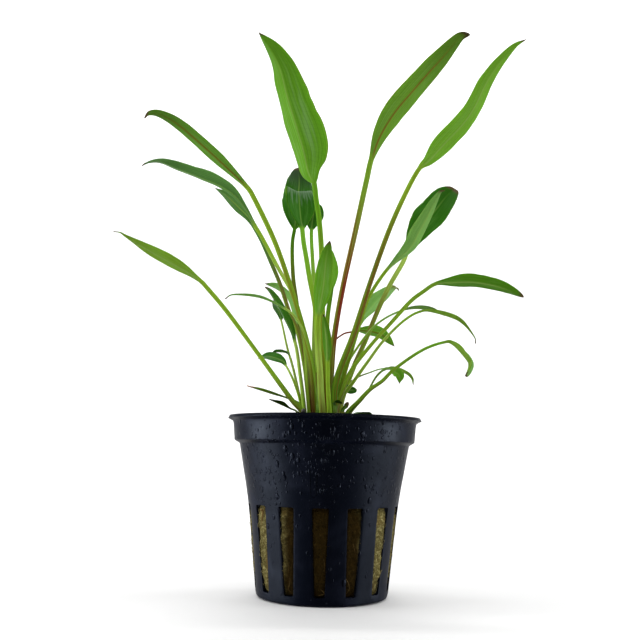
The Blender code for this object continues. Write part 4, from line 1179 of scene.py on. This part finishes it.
def settle(piece):
    """Keep the result of a piece's modifiers as its plain mesh."""
    bpy.context.view_layer.update()
    graph = bpy.context.evaluated_depsgraph_get()
    mesh = bpy.data.meshes.new_from_object(piece.evaluated_get(graph), depsgraph=graph)
    piece.modifiers.clear()
    piece.data = mesh
    return piece


def link_piece(name, mesh, material=None):
    piece = bpy.data.objects.new(name, mesh)
    bpy.context.scene.collection.objects.link(piece)
    if material is not None:
        mesh.materials.append(material)
    return piece


print("slots:", SLOT_COUNT, "columns round the sheet:", SLOT_COUNT * (SLOT_COLUMNS + RIB_COLUMNS))

# %% [markdown]
# ## Black plastic
# Recycled black plastic with a blue cast, smooth and fairly glossy, with a fine grain from the
# mould. The pot in the picture has just come out of the tank: its skin is wet and pimpled, which
# shows as small rings of light. That is a finish here, a bump of round pimples of several sizes,
# and no loose drops are made.

# %% plastic
BIG_PIMPLES, SMALL_PIMPLES = 500.0, 1050.0
PIMPLE_HEIGHT = 0.45 * MM
DARK_PLASTIC, SCUFFED_PLASTIC = (0.0002, 0.0004, 0.0014, 1), (0.0012, 0.0015, 0.0034, 1)
PLASTIC_SPECULAR, PLASTIC_TINT = 0.030, (0.66, 0.78, 1.0, 1)


def pimples(tree, place, scale, reach, keep):
    """Round bumps: a height, from cells of which only a part carry a pimple."""
    cells = add_node(tree, "ShaderNodeTexVoronoi", {"Vector": place, "Scale": scale, "Randomness": 1.0})
    part = add_node(tree, "ShaderNodeSeparateColor", {"Color": cells.outputs["Color"]})
    size = Term(tree, part.outputs["Red"]) * 0.6 + 0.4
    chosen = maths(tree, "LESS_THAN", Term(tree, part.outputs["Green"]), keep)
    distance = Term(tree, cells.outputs["Distance"]) / (size * reach)
    return (1.0 - distance * distance).above(0.0).apply("SQRT") * chosen * size


def plastic_material():
    material, tree, shader = new_material("pot_plastic_wet")
    place = Term(tree, add_node(tree, "ShaderNodeTexCoord").outputs["Object"])
    spot = add_node(tree, "ShaderNodeSeparateXYZ", {"Vector": place})
    height = Term(tree, spot.outputs["Z"])
    drift = cloudy(tree, place, 95.0, 2.0)
    upper_part = smooth(tree, height, 0.020, 0.034)
    crowd = 0.12 + upper_part * 0.62 * smooth(tree, drift, 0.34, 0.54) + 0.18 * upper_part
    squeezed = add_node(tree, "ShaderNodeMapping", {"Vector": place})
    squeezed.inputs["Scale"].default_value = (1.0, 1.0, 0.72)
    stretched_place = Term(tree, squeezed.outputs[0])
    big = pimples(tree, stretched_place, BIG_PIMPLES, 0.38, crowd * 0.60)
    small = pimples(tree, stretched_place, SMALL_PIMPLES, 0.44, crowd)
    fine = cloudy(tree, place, 2600.0, 3.0)
    scuff = cloudy(tree, place, 160.0, 4.0, 0.6)
    bumps = big * 1.0 + small * 0.45 + fine * 0.03
    bump = add_node(tree, "ShaderNodeBump", {"Height": bumps, "Strength": 1.0, "Distance": PIMPLE_HEIGHT})
    tone = mixed(tree, smooth(tree, scuff, 0.45, 0.75), DARK_PLASTIC, SCUFFED_PLASTIC)
    plug(tree, tone, shader.inputs["Base Color"])
    plug(tree, 0.36 + smooth(tree, scuff, 0.40, 0.70) * 0.10, shader.inputs["Roughness"])
    plug(tree, bump.outputs["Normal"], shader.inputs["Normal"])
    shader.inputs["Specular IOR Level"].default_value = PLASTIC_SPECULAR
    shader.inputs["Specular Tint"].default_value = PLASTIC_TINT
    return material


plastic = plastic_material()
print("plastic nodes:", len(plastic.node_tree.nodes))

# %% [markdown]
# ## Pressing the pot
# Solidify gives the sheet its wall, inward from the outer profile, and Bevel softens every edge that
# is sharper than a set angle, as a mould does. Both are settled into the mesh.

# %% pot
EDGE_ROUNDING, SHARP_EDGE = 0.16 * MM, math.radians(50)

net_pot = link_piece("net_pot_pressed", pot_sheet(), plastic)
thick = net_pot.modifiers.new("wall", "SOLIDIFY")
thick.thickness = WALL
thick.offset = -1.0
thick.use_even_offset = True
round_off = net_pot.modifiers.new("soft edges", "BEVEL")
round_off.width = EDGE_ROUNDING
round_off.segments = 2
round_off.limit_method = "ANGLE"
round_off.angle_limit = SHARP_EDGE
round_off.harden_normals = False
settle(net_pot)
net_pot.data.shade_smooth()
seen_out(net_pot.data)
hand_in(net_pot, "pot_plastic", "net_pot")
pot_low = min(vertex.co.z for vertex in net_pot.data.vertices)
pot_high = max(vertex.co.z for vertex in net_pot.data.vertices)
print("pot faces:", len(net_pot.data.polygons), "heights in mm:",
      round(pot_low / MM, 2), round(pot_high / MM, 2))

# %% [markdown]
# ## Mineral wool
# A plug of spun stone fibre fills the pot. Behind the slots it shows as a felted wall that swells a
# little into each opening; on top it is torn open round the stems. It is one closed skin, pushed in
# and out by noise, and a second piece lays loose fibres on the parts that can be seen.

# %% wool skin
GAP = 0.35 * MM
WOOL_TOP_Z = 45.6 * MM
HOLLOW_FLOOR_Z = 40.6 * MM
HOLLOW_CENTRE_Y = 1.5 * MM
HOLLOW_HALF_X, HOLLOW_HALF_Y = 8.8 * MM, 18.6 * MM
WOOL_COLUMNS = 336
WOOL_SIDE_TOP, WOOL_SIDE_LOW, WOOL_SIDE_ROWS = 44.9, 2.6, 56
WOOL_TOP_ROWS, WOOL_BASE_ROWS = 26, 8
WOOL_BASE_Z = 1.65 * MM
SLOT_SWELL, SWELL_REACH = 1.05 * MM, 0.25 * MM


def inner_radius(height):
    """Inside of the pot's wall at a height, less the gap to the wool."""
    corners = [(FOOT_Z, FOOT_RADIUS), (WAIST_Z, WAIST_RADIUS), (BODY_TOP_Z, BODY_TOP_RADIUS),
               (COLLAR_Z, COLLAR_RADIUS), (50 * MM, COLLAR_RADIUS)]
    heights, radii = zip(*corners)
    return float(np.interp(height, heights, radii)) - WALL - GAP


def in_slot(angle, height):
    """1 in the middle of a slot, 0 behind a rib."""
    period = math.tau / SLOT_COUNT
    away = abs((angle - SLOT_PHASE + period / 2) % period - period / 2)
    half, is_open = slot_half_width(inner_radius(height), height)
    if not is_open:
        return 0.0
    return ease((half - away * inner_radius(height)) / SWELL_REACH)


def wool_mesh():
    rows = [("side", height) for height in np.linspace(WOOL_SIDE_TOP, WOOL_SIDE_LOW, WOOL_SIDE_ROWS) * MM]
    rows = [("top", share) for share in np.linspace(0.06, 0.985, WOOL_TOP_ROWS)] + rows
    rows += [("base", share) for share in np.linspace(0.96, 0.1, WOOL_BASE_ROWS)]
    points, shown = [], []
    for kind, value in rows:
        for column in range(WOOL_COLUMNS):
            angle = math.tau * column / WOOL_COLUMNS
            sideways = Vector((math.sin(angle), -math.cos(angle), 0.0))
            if kind == "side":
                radius = inner_radius(value)
                rough = noise.fractal(sideways * 14.0 + Vector((0, 0, value * 420)), 0.7, 2.1, 4)
                slot = in_slot(angle, value)
                ends = abs(2 * (value - SLOT_BOTTOM_Z) / (SLOT_TOP_Z - SLOT_BOTTOM_Z) - 1)
                swell = slot * SLOT_SWELL * (1 - ends ** 6)
                place = sideways * (radius - 0.10 * MM + swell + rough * (0.05 + 0.25 * slot) * MM)
                place.z = value
                seen = slot
            elif kind == "top":
                radius = inner_radius(WOOL_SIDE_TOP * MM) * value
                place = sideways * radius
                reach = math.hypot(place.x / HOLLOW_HALF_X, (place.y - HOLLOW_CENTRE_Y) / HOLLOW_HALF_Y)
                deep = 1.0 - ease((reach - 0.94) / 0.14)
                rough = noise.fractal(place * 700.0, 0.8, 2.1, 4)
                shoulder = ease((value - 0.93) / 0.06)
                place.z = WOOL_TOP_Z - deep * (WOOL_TOP_Z - HOLLOW_FLOOR_Z)
                place.z += rough * 0.30 * MM - shoulder * 0.5 * MM
                seen = 1.0 - deep * 0.6
            else:
                radius = inner_radius(WOOL_SIDE_LOW * MM) * value
                place = sideways * radius
                place.z = WOOL_BASE_Z + (1 - ease((1 - value) / 0.08)) * 0.5 * MM
                seen = 0.0
            points.append(place)
            shown.append(seen)
    faces = []
    for row in range(len(rows) - 1):
        for column in range(WOOL_COLUMNS):
            after = (column + 1) % WOOL_COLUMNS
            a, b = row * WOOL_COLUMNS, (row + 1) * WOOL_COLUMNS
            faces.append((a + column, b + column, b + after, a + after))
    faces.append(tuple(range(WOOL_COLUMNS)))
    faces.append(tuple(range(len(points) - WOOL_COLUMNS, len(points)))[::-1])
    mesh = bpy.data.meshes.new("wool_skin")
    mesh.from_pydata(points, [], faces)
    mesh.attributes.new("shown", "FLOAT", "POINT").data.foreach_set("value", shown)
    mesh.shade_smooth()
    return mesh


print("wool: columns", WOOL_COLUMNS, "swell in the slots", round(SLOT_SWELL / MM, 2), "mm")

# %% [markdown]
# ## Wool finish
# Stone wool in a tank turns olive and brown: it is matt, with pale threads crossing dark pores and
# rusty patches near the roots. Three stretched noises, each along another direction, give the felt.
# Towards the middle, front and back, away from the side lights, the colour is also darkened to a dark
# brown: that is painted shade, and the roots take a weaker share of it.

# %% wool finish
# The dark brown of the painted shade, and the distances from the middle plane over which that painted shade
# fades out towards the lit flanks
PAINTED_SHADE_TONE = (0.016, 0.0085, 0.0008)
SHADE_FADE_FROM, SHADE_FADE_TO = 8.5 * MM, 12.5 * MM


def felt(tree, place, turn, scale):
    """Fine threads that run one way."""
    turned_place = add_node(tree, "ShaderNodeMapping", {"Vector": place})
    turned_place.inputs["Rotation"].default_value = turn
    turned_place.inputs["Scale"].default_value = (1.0, 0.16, 1.0)
    return cloudy(tree, turned_place.outputs[0], scale, 3.0, 0.6)


def wool_material(name, pale, dark, rust, painted_shade=0.0):
    material, tree, shader = new_material(name)
    place = Term(tree, add_node(tree, "ShaderNodeTexCoord").outputs["Object"])
    spot = add_node(tree, "ShaderNodeSeparateXYZ", {"Vector": place})
    flank = Term(tree, spot.outputs["X"]).size()
    first = felt(tree, place, (0.3, 0.9, 0.2), 1500.0)
    second = felt(tree, place, (1.4, -0.5, 0.8), 1700.0)
    third = felt(tree, place, (-0.8, 0.4, 1.7), 1300.0)
    threads = first.apply("MAXIMUM", second).apply("MAXIMUM", third)
    cloud = cloudy(tree, place, 230.0, 3.0)
    patch = cloudy(tree, place, 150.0, 2.0)
    tone = mixed(tree, smooth(tree, threads, 0.50, 0.76), dark, pale)
    tone = mixed(tree, smooth(tree, patch, 0.52, 0.68) * 0.7, tone, rust)
    # Painted shade: near the middle plane, away from the side lights, the colour is drawn towards a dark
    # brown; the flanks keep theirs
    lit_flank = smooth(tree, flank + (cloud - 0.5) * (SHADE_FADE_TO - SHADE_FADE_FROM), SHADE_FADE_FROM, SHADE_FADE_TO)
    tone = stretched(tree, tone, 0.55 + cloud * 0.85)
    painted_shade_colour = stretched(tree, PAINTED_SHADE_TONE, threads * 2.6 - 0.5)
    tone = mixed(tree, (1.0 - lit_flank) * painted_shade, tone, painted_shade_colour)
    bump = add_node(tree, "ShaderNodeBump", {"Height": threads + cloud * 0.5, "Strength": 0.8,
                                             "Distance": 0.35 * MM})
    plug(tree, tone, shader.inputs["Base Color"])
    plug(tree, bump.outputs["Normal"], shader.inputs["Normal"])
    shader.inputs["Roughness"].default_value = 0.9
    shader.inputs["Specular IOR Level"].default_value = 0.04
    return material


# The plug carries nearly the full painted shade
wool_finish = wool_material("mineral_wool_felt", colour(0.340, 0.300, 0.125), colour(0.085, 0.070, 0.022),
                            colour(0.150, 0.090, 0.020), painted_shade=0.985)
mineral_wool = link_piece("mineral_wool_plug", wool_mesh(), wool_finish)
seen_out(mineral_wool.data)
hand_in(mineral_wool, "mineral_wool", "mineral_wool")
print("wool faces:", len(mineral_wool.data.polygons))

# %% [markdown]
# ## Loose fibres
# Short threads lie on the felt at all angles. Geometry Nodes scatters points on the wool, thickly
# where the skin is marked as seen and not at all behind the ribs, and sets one bent thread on each.
# A particle system would do it too, but its hairs would have no solid mesh.

# %% fibres
FIBRE_CROWD = 2.6e6
FIBRE_LENGTH, FIBRE_RADIUS = 1.5 * MM, 0.028 * MM


def fibre_tree():
    tree = bpy.data.node_groups.new("loose_fibres", "GeometryNodeTree")
    given = entries(tree, [
        ("Wool", "Geometry", None), ("Fibres per square metre", "Float", 1.0e6),
        ("Length", "Float", 1.0 * MM), ("Radius", "Float", 0.03 * MM), ("Lift", "Float", 0.25),
        ("Seed", "Int", 3), ("Finish", "Material", None)], [("Fibres", "Geometry")])
    shown = add_node(tree, "GeometryNodeInputNamedAttribute", {"Name": "shown"}, data_type="FLOAT")
    seen = smooth(tree, Term(tree, shown.outputs["Attribute"]), 0.15, 0.7)
    spread = add_node(tree, "GeometryNodeDistributePointsOnFaces", {
        "Mesh": given["Wool"], "Density": given["Fibres per square metre"] * seen, "Seed": given["Seed"]})
    thread = add_node(tree, "GeometryNodeCurvePrimitiveBezierSegment", {
        "Resolution": 3, "Start": (-0.5, 0.0, 0.0), "Start Handle": (-0.2, 0.22, 0.10),
        "End Handle": (0.2, -0.10, 0.25), "End": (0.5, 0.06, 0.05)})
    round_edge = add_node(tree, "GeometryNodeCurvePrimitiveCircle", {"Resolution": 3})
    plug(tree, given["Radius"] / given["Length"], round_edge.inputs["Radius"])
    solid = add_node(tree, "GeometryNodeCurveToMesh", {
        "Curve": thread.outputs[0], "Profile Curve": round_edge.outputs[0], "Fill Caps": True})
    turn = add_node(tree, "FunctionNodeRandomValue", data_type="FLOAT_VECTOR")
    turn.inputs["Min"].default_value = (-0.5, -0.5, 0.0)
    turn.inputs["Max"].default_value = (0.5, 0.5, math.tau)
    plug(tree, given["Seed"], turn.inputs["Seed"])
    stood = add_node(tree, "FunctionNodeRotateRotation", rotation_space="LOCAL")
    plug(tree, spread.outputs["Rotation"], stood.inputs["Rotation"])
    plug(tree, turn.outputs["Value"], stood.inputs["Rotate By"])
    size = add_node(tree, "FunctionNodeRandomValue", data_type="FLOAT")
    size.inputs[2].default_value = 0.45
    size.inputs[3].default_value = 1.5
    placed = add_node(tree, "GeometryNodeInstanceOnPoints", {
        "Points": spread.outputs["Points"], "Instance": solid.outputs["Mesh"],
        "Rotation": stood.outputs["Rotation"]})
    plug(tree, Term(tree, size.outputs[1]) * given["Length"], placed.inputs["Scale"])
    real = add_node(tree, "GeometryNodeRealizeInstances", {"Geometry": placed.outputs[0]})
    finish = add_node(tree, "GeometryNodeSetMaterial",
                      {"Geometry": real.outputs[0], "Material": given["Finish"]})
    hand_out(tree, Fibres=finish.outputs[0])
    return tree


# The loose fibres carry nearly the same painted shade
fibre_finish = wool_material("wool_fibre", colour(0.420, 0.370, 0.160), colour(0.200, 0.165, 0.055),
                             colour(0.230, 0.140, 0.040), painted_shade=0.96)
fibres = grow("wool_fibres", mineral_wool.data.copy(), fibre_tree(), {
    "Fibres per square metre": FIBRE_CROWD, "Length": FIBRE_LENGTH, "Radius": FIBRE_RADIUS,
    "Finish": fibre_finish})
hand_in(fibres, "mineral_wool")
print("fibre faces:", len(fibres.data.polygons))

# %% [markdown]
# ## Rhizomes
# The stalks rise from short lying stems that are sunk in the wool. They are lumpy, brown and ringed
# with old leaf scars, so each is a ball drawn out long, with rings and small lumps pushed into it.

# %% rhizomes
# across, back, half length and half width in mm
RHIZOMES = {
    "rhizome_front": (-0.6, -9.6, 6.0, 4.1),
    "rhizome_middle": (-0.6, 0.2, 7.4, 4.6),
    "rhizome_back": (-0.8, 11.2, 5.6, 5.2),
}
RHIZOME_TOP_Z, RHIZOME_HALF_HEIGHT = 44.3 * MM, 1.7 * MM
STEM_DARK, STEM_PALE = colour(0.050, 0.030, 0.012), colour(0.150, 0.100, 0.040)


def stem_material():
    material, tree, shader = new_material("rhizome_skin")
    place = Term(tree, add_node(tree, "ShaderNodeTexCoord").outputs["Object"])
    bands = cloudy(tree, place, 420.0, 4.0, 0.6)
    spots = cloudy(tree, place, 1600.0, 2.0)
    tone = mixed(tree, smooth(tree, bands, 0.40, 0.64), STEM_DARK, STEM_PALE)
    tone = stretched(tree, tone, 0.7 + spots * 0.6)
    bump = add_node(tree, "ShaderNodeBump",
                    {"Height": bands + spots * 0.4, "Strength": 0.6, "Distance": 0.2 * MM})
    plug(tree, tone, shader.inputs["Base Color"])
    plug(tree, bump.outputs["Normal"], shader.inputs["Normal"])
    shader.inputs["Roughness"].default_value = 0.6
    return material


stem_finish = stem_material()
for name, place in RHIZOMES.items():
    across, back, half_x, half_y = (value * MM for value in place)
    bm = bmesh.new()
    bmesh.ops.create_icosphere(bm, subdivisions=5, radius=1.0)
    for vert in bm.verts:
        ring = 0.022 * math.cos(vert.co.x * 26.0 + vert.co.y * 2.0) ** 3
        lump = 0.030 * noise.fractal(vert.co * 4.0 + Vector((back * 300, 0, 0)), 0.8, 2.1, 4)
        out = vert.co * (0.97 + ring + lump)
        vert.co = Vector((across + out.x * half_x, back + out.y * half_y,
                          RHIZOME_TOP_Z - RHIZOME_HALF_HEIGHT + out.z * RHIZOME_HALF_HEIGHT))
    mesh = bpy.data.meshes.new(name)
    bm.to_mesh(mesh)
    bm.free()
    mesh.shade_smooth()
    hand_in(link_piece(name + "_scarred", mesh, stem_finish), "rhizome", name)
print("rhizomes:", len(RHIZOMES))

# %% [markdown]
# ## Roots
# A few roots have found the slots: thin, pale brown and curling. Each follows a short list of places
# on the wool's surface, as an azimuth and a height, and tapers to its end. One tree sweeps a ring
# along all of them, as wide as the radius that each point carries.

# %% roots
# azimuth in degrees from the front, height in mm and how far the root stands off the wool in mm
ROOTS = [
    (0.20, [(-56, 23.6, -0.2), (-54.0, 24.0, 0.35), (-51.5, 23.0, 0.5), (-53.5, 21.2, 0.4),
            (-55.0, 19.6, 0.2)]),
    (0.12, [(-50.5, 24.2, 0.0), (-52.5, 22.8, 0.5), (-54.5, 20.6, 0.5), (-55.2, 18.8, 0.1)]),
    (0.11, [(23.0, 16.5, 0.1), (24.2, 15.0, 0.4), (25.6, 13.7, 0.4), (26.2, 12.4, 0.0)]),
    (0.13, [(18.5, 7.4, 0.0), (21.0, 6.2, 0.4), (22.2, 4.6, 0.3), (19.6, 3.4, 0.1)]),
    (0.10, [(0.5, 12.8, 0.0), (1.4, 10.2, 0.35), (0.2, 8.4, 0.0)]),
    (0.12, [(-28.0, 9.6, 0.0), (-26.6, 6.4, 0.4), (-28.4, 4.2, 0.35), (-25.2, 3.2, 0.1)]),
    (0.12, [(-53.2, 9.0, 0.1), (-51.4, 6.0, 0.35), (-53.4, 3.8, 0.2)]),
    (0.13, [(48.8, 7.6, 0.0), (46.6, 5.0, 0.3), (49.0, 3.4, 0.1)]),
    (0.12, [(-1.2, 4.6, 0.1), (1.6, 3.6, 0.4), (-3.6, 3.0, 0.2)]),
]


ROOT_CLEARANCE = 0.75 * MM
ROOT_TAPER = 0.75


def thread_tree():
    tree = bpy.data.node_groups.new("root_threads", "GeometryNodeTree")
    given = entries(tree, [("Guide", "Geometry", None), ("Sides", "Int", 8), ("Step", "Float", 0.35 * MM),
                           ("Finish", "Material", None)], [("Roots", "Geometry")])
    curve = add_node(tree, "GeometryNodeMeshToCurve", {"Mesh": given["Guide"]})
    fine = add_node(tree, "GeometryNodeResampleCurve", {"Curve": curve.outputs[0]}, mode="LENGTH")
    plug(tree, given["Step"], fine.inputs["Length"])
    label = add_node(tree, "GeometryNodeInputNamedAttribute", {"Name": "radius_m"}, data_type="FLOAT")
    ring = add_node(tree, "GeometryNodeCurvePrimitiveCircle", {"Resolution": given["Sides"], "Radius": 1.0})
    solid = add_node(tree, "GeometryNodeCurveToMesh", {
        "Curve": fine.outputs[0], "Profile Curve": ring.outputs[0],
        "Scale": label.outputs["Attribute"], "Fill Caps": True})
    soft = add_node(tree, "GeometryNodeSetShadeSmooth", {"Geometry": solid.outputs[0]})
    real = add_node(tree, "GeometryNodeRealizeInstances", {"Geometry": soft.outputs[0]})
    finish = add_node(tree, "GeometryNodeSetMaterial",
                      {"Geometry": real.outputs[0], "Material": given["Finish"]})
    hand_out(tree, Roots=finish.outputs[0])
    return tree


def root_guide():
    points, edges, radii = [], [], []
    for radius, places in ROOTS:
        path = []
        for azimuth, height, stand_off in places:
            angle = math.radians(azimuth)
            out = inner_radius(height * MM) + ROOT_CLEARANCE + stand_off * MM * 0.6
            path.append(Vector((out * math.sin(angle), -out * math.cos(angle), height * MM)))
        line = curve_through(path)
        start = len(points)
        points += line
        edges += [(start + i, start + i + 1) for i in range(len(line) - 1)]
        radii += [radius * MM * (1.0 - ROOT_TAPER * i / len(line)) for i in range(len(line))]
    mesh = bpy.data.meshes.new("root_guide")
    mesh.from_pydata(points, edges, [])
    mesh.attributes.new("radius_m", "FLOAT", "POINT").data.foreach_set("value", radii)
    return mesh


# The roots carry a weaker share of the same painted shade
root_finish = wool_material("root_skin", colour(0.300, 0.220, 0.085), colour(0.130, 0.080, 0.028),
                            colour(0.100, 0.050, 0.018), painted_shade=0.6)
roots = grow("roots_in_slots", root_guide(), thread_tree(), {"Finish": root_finish})
seen_out(roots.data)
hand_in(roots, "rhizome")
print("roots:", len(ROOTS))

# %% [markdown]
# ## The moulded mark
# Two short bars joined below are moulded on the front of the pot. The mark is a fine raised line, so
# the same tree sweeps it along the wall.

# %% moulded mark
MARK_RADIUS = 0.14 * MM
MARK_HEIGHTS, MARK_WALL = [25.2, 41.45], [20.9, 23.95]
mark_places = [(-9.3, 33.6), (-9.3, 31.0), (-9.3, 28.4), (-8.6, 27.9), (-7.4, 27.7), (-6.2, 27.9),
               (-5.2, 28.4), (-5.0, 31.0), (-5.0, 33.6)]
mark_path = []
for azimuth, height in mark_places:
    angle = math.radians(azimuth)
    out = float(np.interp(height, MARK_HEIGHTS, MARK_WALL)) * MM
    mark_path.append(Vector((out * math.sin(angle), -out * math.cos(angle), height * MM)))
mark_guide = bpy.data.meshes.new("mark_guide")
mark_guide.from_pydata(mark_path, [(i, i + 1) for i in range(len(mark_path) - 1)], [])
mark_radii = mark_guide.attributes.new("radius_m", "FLOAT", "POINT")
mark_radii.data.foreach_set("value", [MARK_RADIUS] * len(mark_path))
mark = grow("moulded_mark", mark_guide, thread_tree(), {"Step": 0.3 * MM, "Finish": plastic})
seen_out(mark.data)
hand_in(mark, "pot_plastic")
print("mark faces:", len(mark.data.polygons))

# %% [markdown]
# ## A speck of dirt
# A black crumb sits at the foot of the left stalks: a small ball made uneven by noise.

# %% dirt speck
DIRT_PLACE = Vector((-5.9, -11.0, 50.2)) * MM
DIRT_HALF_SIZE = Vector((0.62, 0.5, 0.75)) * MM
dirt_material, dirt_tree, dirt_shader = new_material("dirt")
dirt_grain = cloudy(dirt_tree, add_node(dirt_tree, "ShaderNodeTexCoord").outputs["Object"], 3000.0, 3.0)
plug(dirt_tree, mixed(dirt_tree, dirt_grain, colour(0.006, 0.005, 0.004), colour(0.030, 0.022, 0.015)),
     dirt_shader.inputs["Base Color"])
bm = bmesh.new()
bmesh.ops.create_icosphere(bm, subdivisions=4, radius=1.0)
for vert in bm.verts:
    out = vert.co * (1.0 + 0.35 * noise.fractal(vert.co * 2.0, 0.8, 2.1, 4))
    vert.co = DIRT_PLACE + out * DIRT_HALF_SIZE
mesh = bpy.data.meshes.new("dirt")
bm.to_mesh(mesh)
bm.free()
mesh.shade_smooth()
hand_in(link_piece("dirt_speck", mesh, dirt_material), "rhizome")
print("dirt speck faces:", len(mesh.polygons))

# %% [markdown]
# ## Stage
# A plain pale cove: a floor that curves up into a wall, so that no edge shows behind the plant. It
# is staged, and no part of the object.

# %% stage
COVE_FRONT, COVE_BEND, COVE_RADIUS, COVE_TOP, COVE_HALF_WIDTH = -1.6, 1.3, 0.5, 2.6, 2.4
COVE_TONE = (0.66, 0.66, 0.66, 1)


def cove():
    profile = [(COVE_FRONT, 0.0), (COVE_BEND, 0.0)]
    profile += [(COVE_BEND + COVE_RADIUS * math.sin(t), COVE_RADIUS - COVE_RADIUS * math.cos(t))
                for t in np.linspace(0.15, math.pi / 2, 10)]
    profile += [(COVE_BEND + COVE_RADIUS, COVE_TOP)]
    points = [(x, y, z) for y, z in profile for x in (-COVE_HALF_WIDTH, COVE_HALF_WIDTH)]
    faces = [(2 * i, 2 * i + 1, 2 * i + 3, 2 * i + 2) for i in range(len(profile) - 1)]
    mesh = bpy.data.meshes.new("cove")
    mesh.from_pydata(points, [], faces)
    mesh.shade_smooth()
    material, tree, shader = new_material("pale_backdrop")
    shader.inputs["Base Color"].default_value = COVE_TONE
    shader.inputs["Roughness"].default_value = 0.9
    shader.inputs["Specular IOR Level"].default_value = 0.1
    return link_piece("studio_cove", mesh, material)


cove()
print("cove width:", 2 * COVE_HALF_WIDTH, "m")

# %% [markdown]
# ## Light
# Soft panels do what the photographer's did: one on each side, a larger one overhead for the leaves,
# one behind and one that only brightens the wall. Two narrow strips draw the long bluish sheens on
# the black pot; light linking lets them reach the pot alone.

# %% light
# name, place, target, width, height and power
PANELS = [
    ("panel_left", (-0.60, -0.10, 0.25), (0.0, 0.0, 0.07), 0.35, 0.70, 4.2),
    ("panel_right", (0.60, -0.10, 0.25), (0.0, 0.0, 0.07), 0.35, 0.70, 3.2),
    ("panel_above", (0.0, -0.50, 0.62), (0.0, 0.0, 0.08), 0.8, 0.6, 2.9),
    ("panel_behind", (0.0, 0.80, 0.75), (0.0, 0.0, 0.08), 0.9, 0.5, 2.2),
    ("panel_wall", (0.0, 0.55, 1.5), (0.0, 1.8, 0.5), 2.4, 0.5, 62.0),
]
STRIPS = [("strip_left", -0.30, 6.8), ("strip_right", 0.30, 4.6)]
STRIP_TINT = (0.86, 0.92, 1.0)
AIR_BRIGHTNESS = 0.13


def panel(name, place, target, width, height, power, tint=(1.0, 1.0, 1.0)):
    light = bpy.data.lights.new(name, "AREA")
    light.shape = "RECTANGLE"
    light.size, light.size_y = width, height
    light.energy = power
    light.color = tint
    lamp = bpy.data.objects.new(name, light)
    lamp.location = place
    lamp.rotation_mode = "QUATERNION"
    lamp.rotation_quaternion = (Vector(target) - Vector(place)).to_track_quat("-Z", "Y")
    lamp.visible_camera = False
    bpy.context.scene.collection.objects.link(lamp)
    return lamp


for row in PANELS:
    panel(*row)

only_pot = bpy.data.collections.new("lit_by_strips")
bpy.context.scene.collection.children.link(only_pot)
only_pot.objects.link(net_pot)
for name, side_x, power in STRIPS:
    strip = panel(name, (side_x, -0.03, 0.0), (0.0, 0.0, 0.02), 0.08, 0.36, power, STRIP_TINT)
    strip.light_linking.receiver_collection = only_pot
    strip.light_linking.blocker_collection = only_pot

world = bpy.data.worlds.new("studio_air")
bpy.context.scene.world = world
world.use_nodes = True
world.node_tree.nodes["Background"].inputs["Color"].default_value = (1.0, 1.0, 1.0, 1.0)
world.node_tree.nodes["Background"].inputs["Strength"].default_value = AIR_BRIGHTNESS

bpy.context.scene.view_settings.view_transform = "Standard"
bpy.context.scene.view_settings.look = "None"
print("lights:", len(PANELS) + len(STRIPS))

# %% [markdown]
# ## Camera
# The camera stands where the photographer's did, a quarter of a metre away and looking a little up.
# Place, tilt and roll were worked out from the pot's ellipses and edges in the picture.

# %% camera
LENS, SENSOR_WIDTH = 47.0, 36.0
TILT_UP, ROLL = math.radians(9.12), math.radians(1.15)
camera_data = bpy.data.cameras.new("camera")
camera_data.sensor_width = SENSOR_WIDTH
camera_data.lens = LENS
camera_data.clip_start = 0.01
camera_data.clip_end = 20.0
camera = bpy.data.objects.new("camera", camera_data)
bpy.context.scene.collection.objects.link(camera)
camera.matrix_world = (Matrix.Translation(EYE)
                       @ Matrix.Rotation(math.pi / 2 + TILT_UP, 4, "X")
                       @ Matrix.Rotation(ROLL, 4, "Z"))
bpy.context.scene.camera = camera
print("camera at", [round(part, 4) for part in EYE])
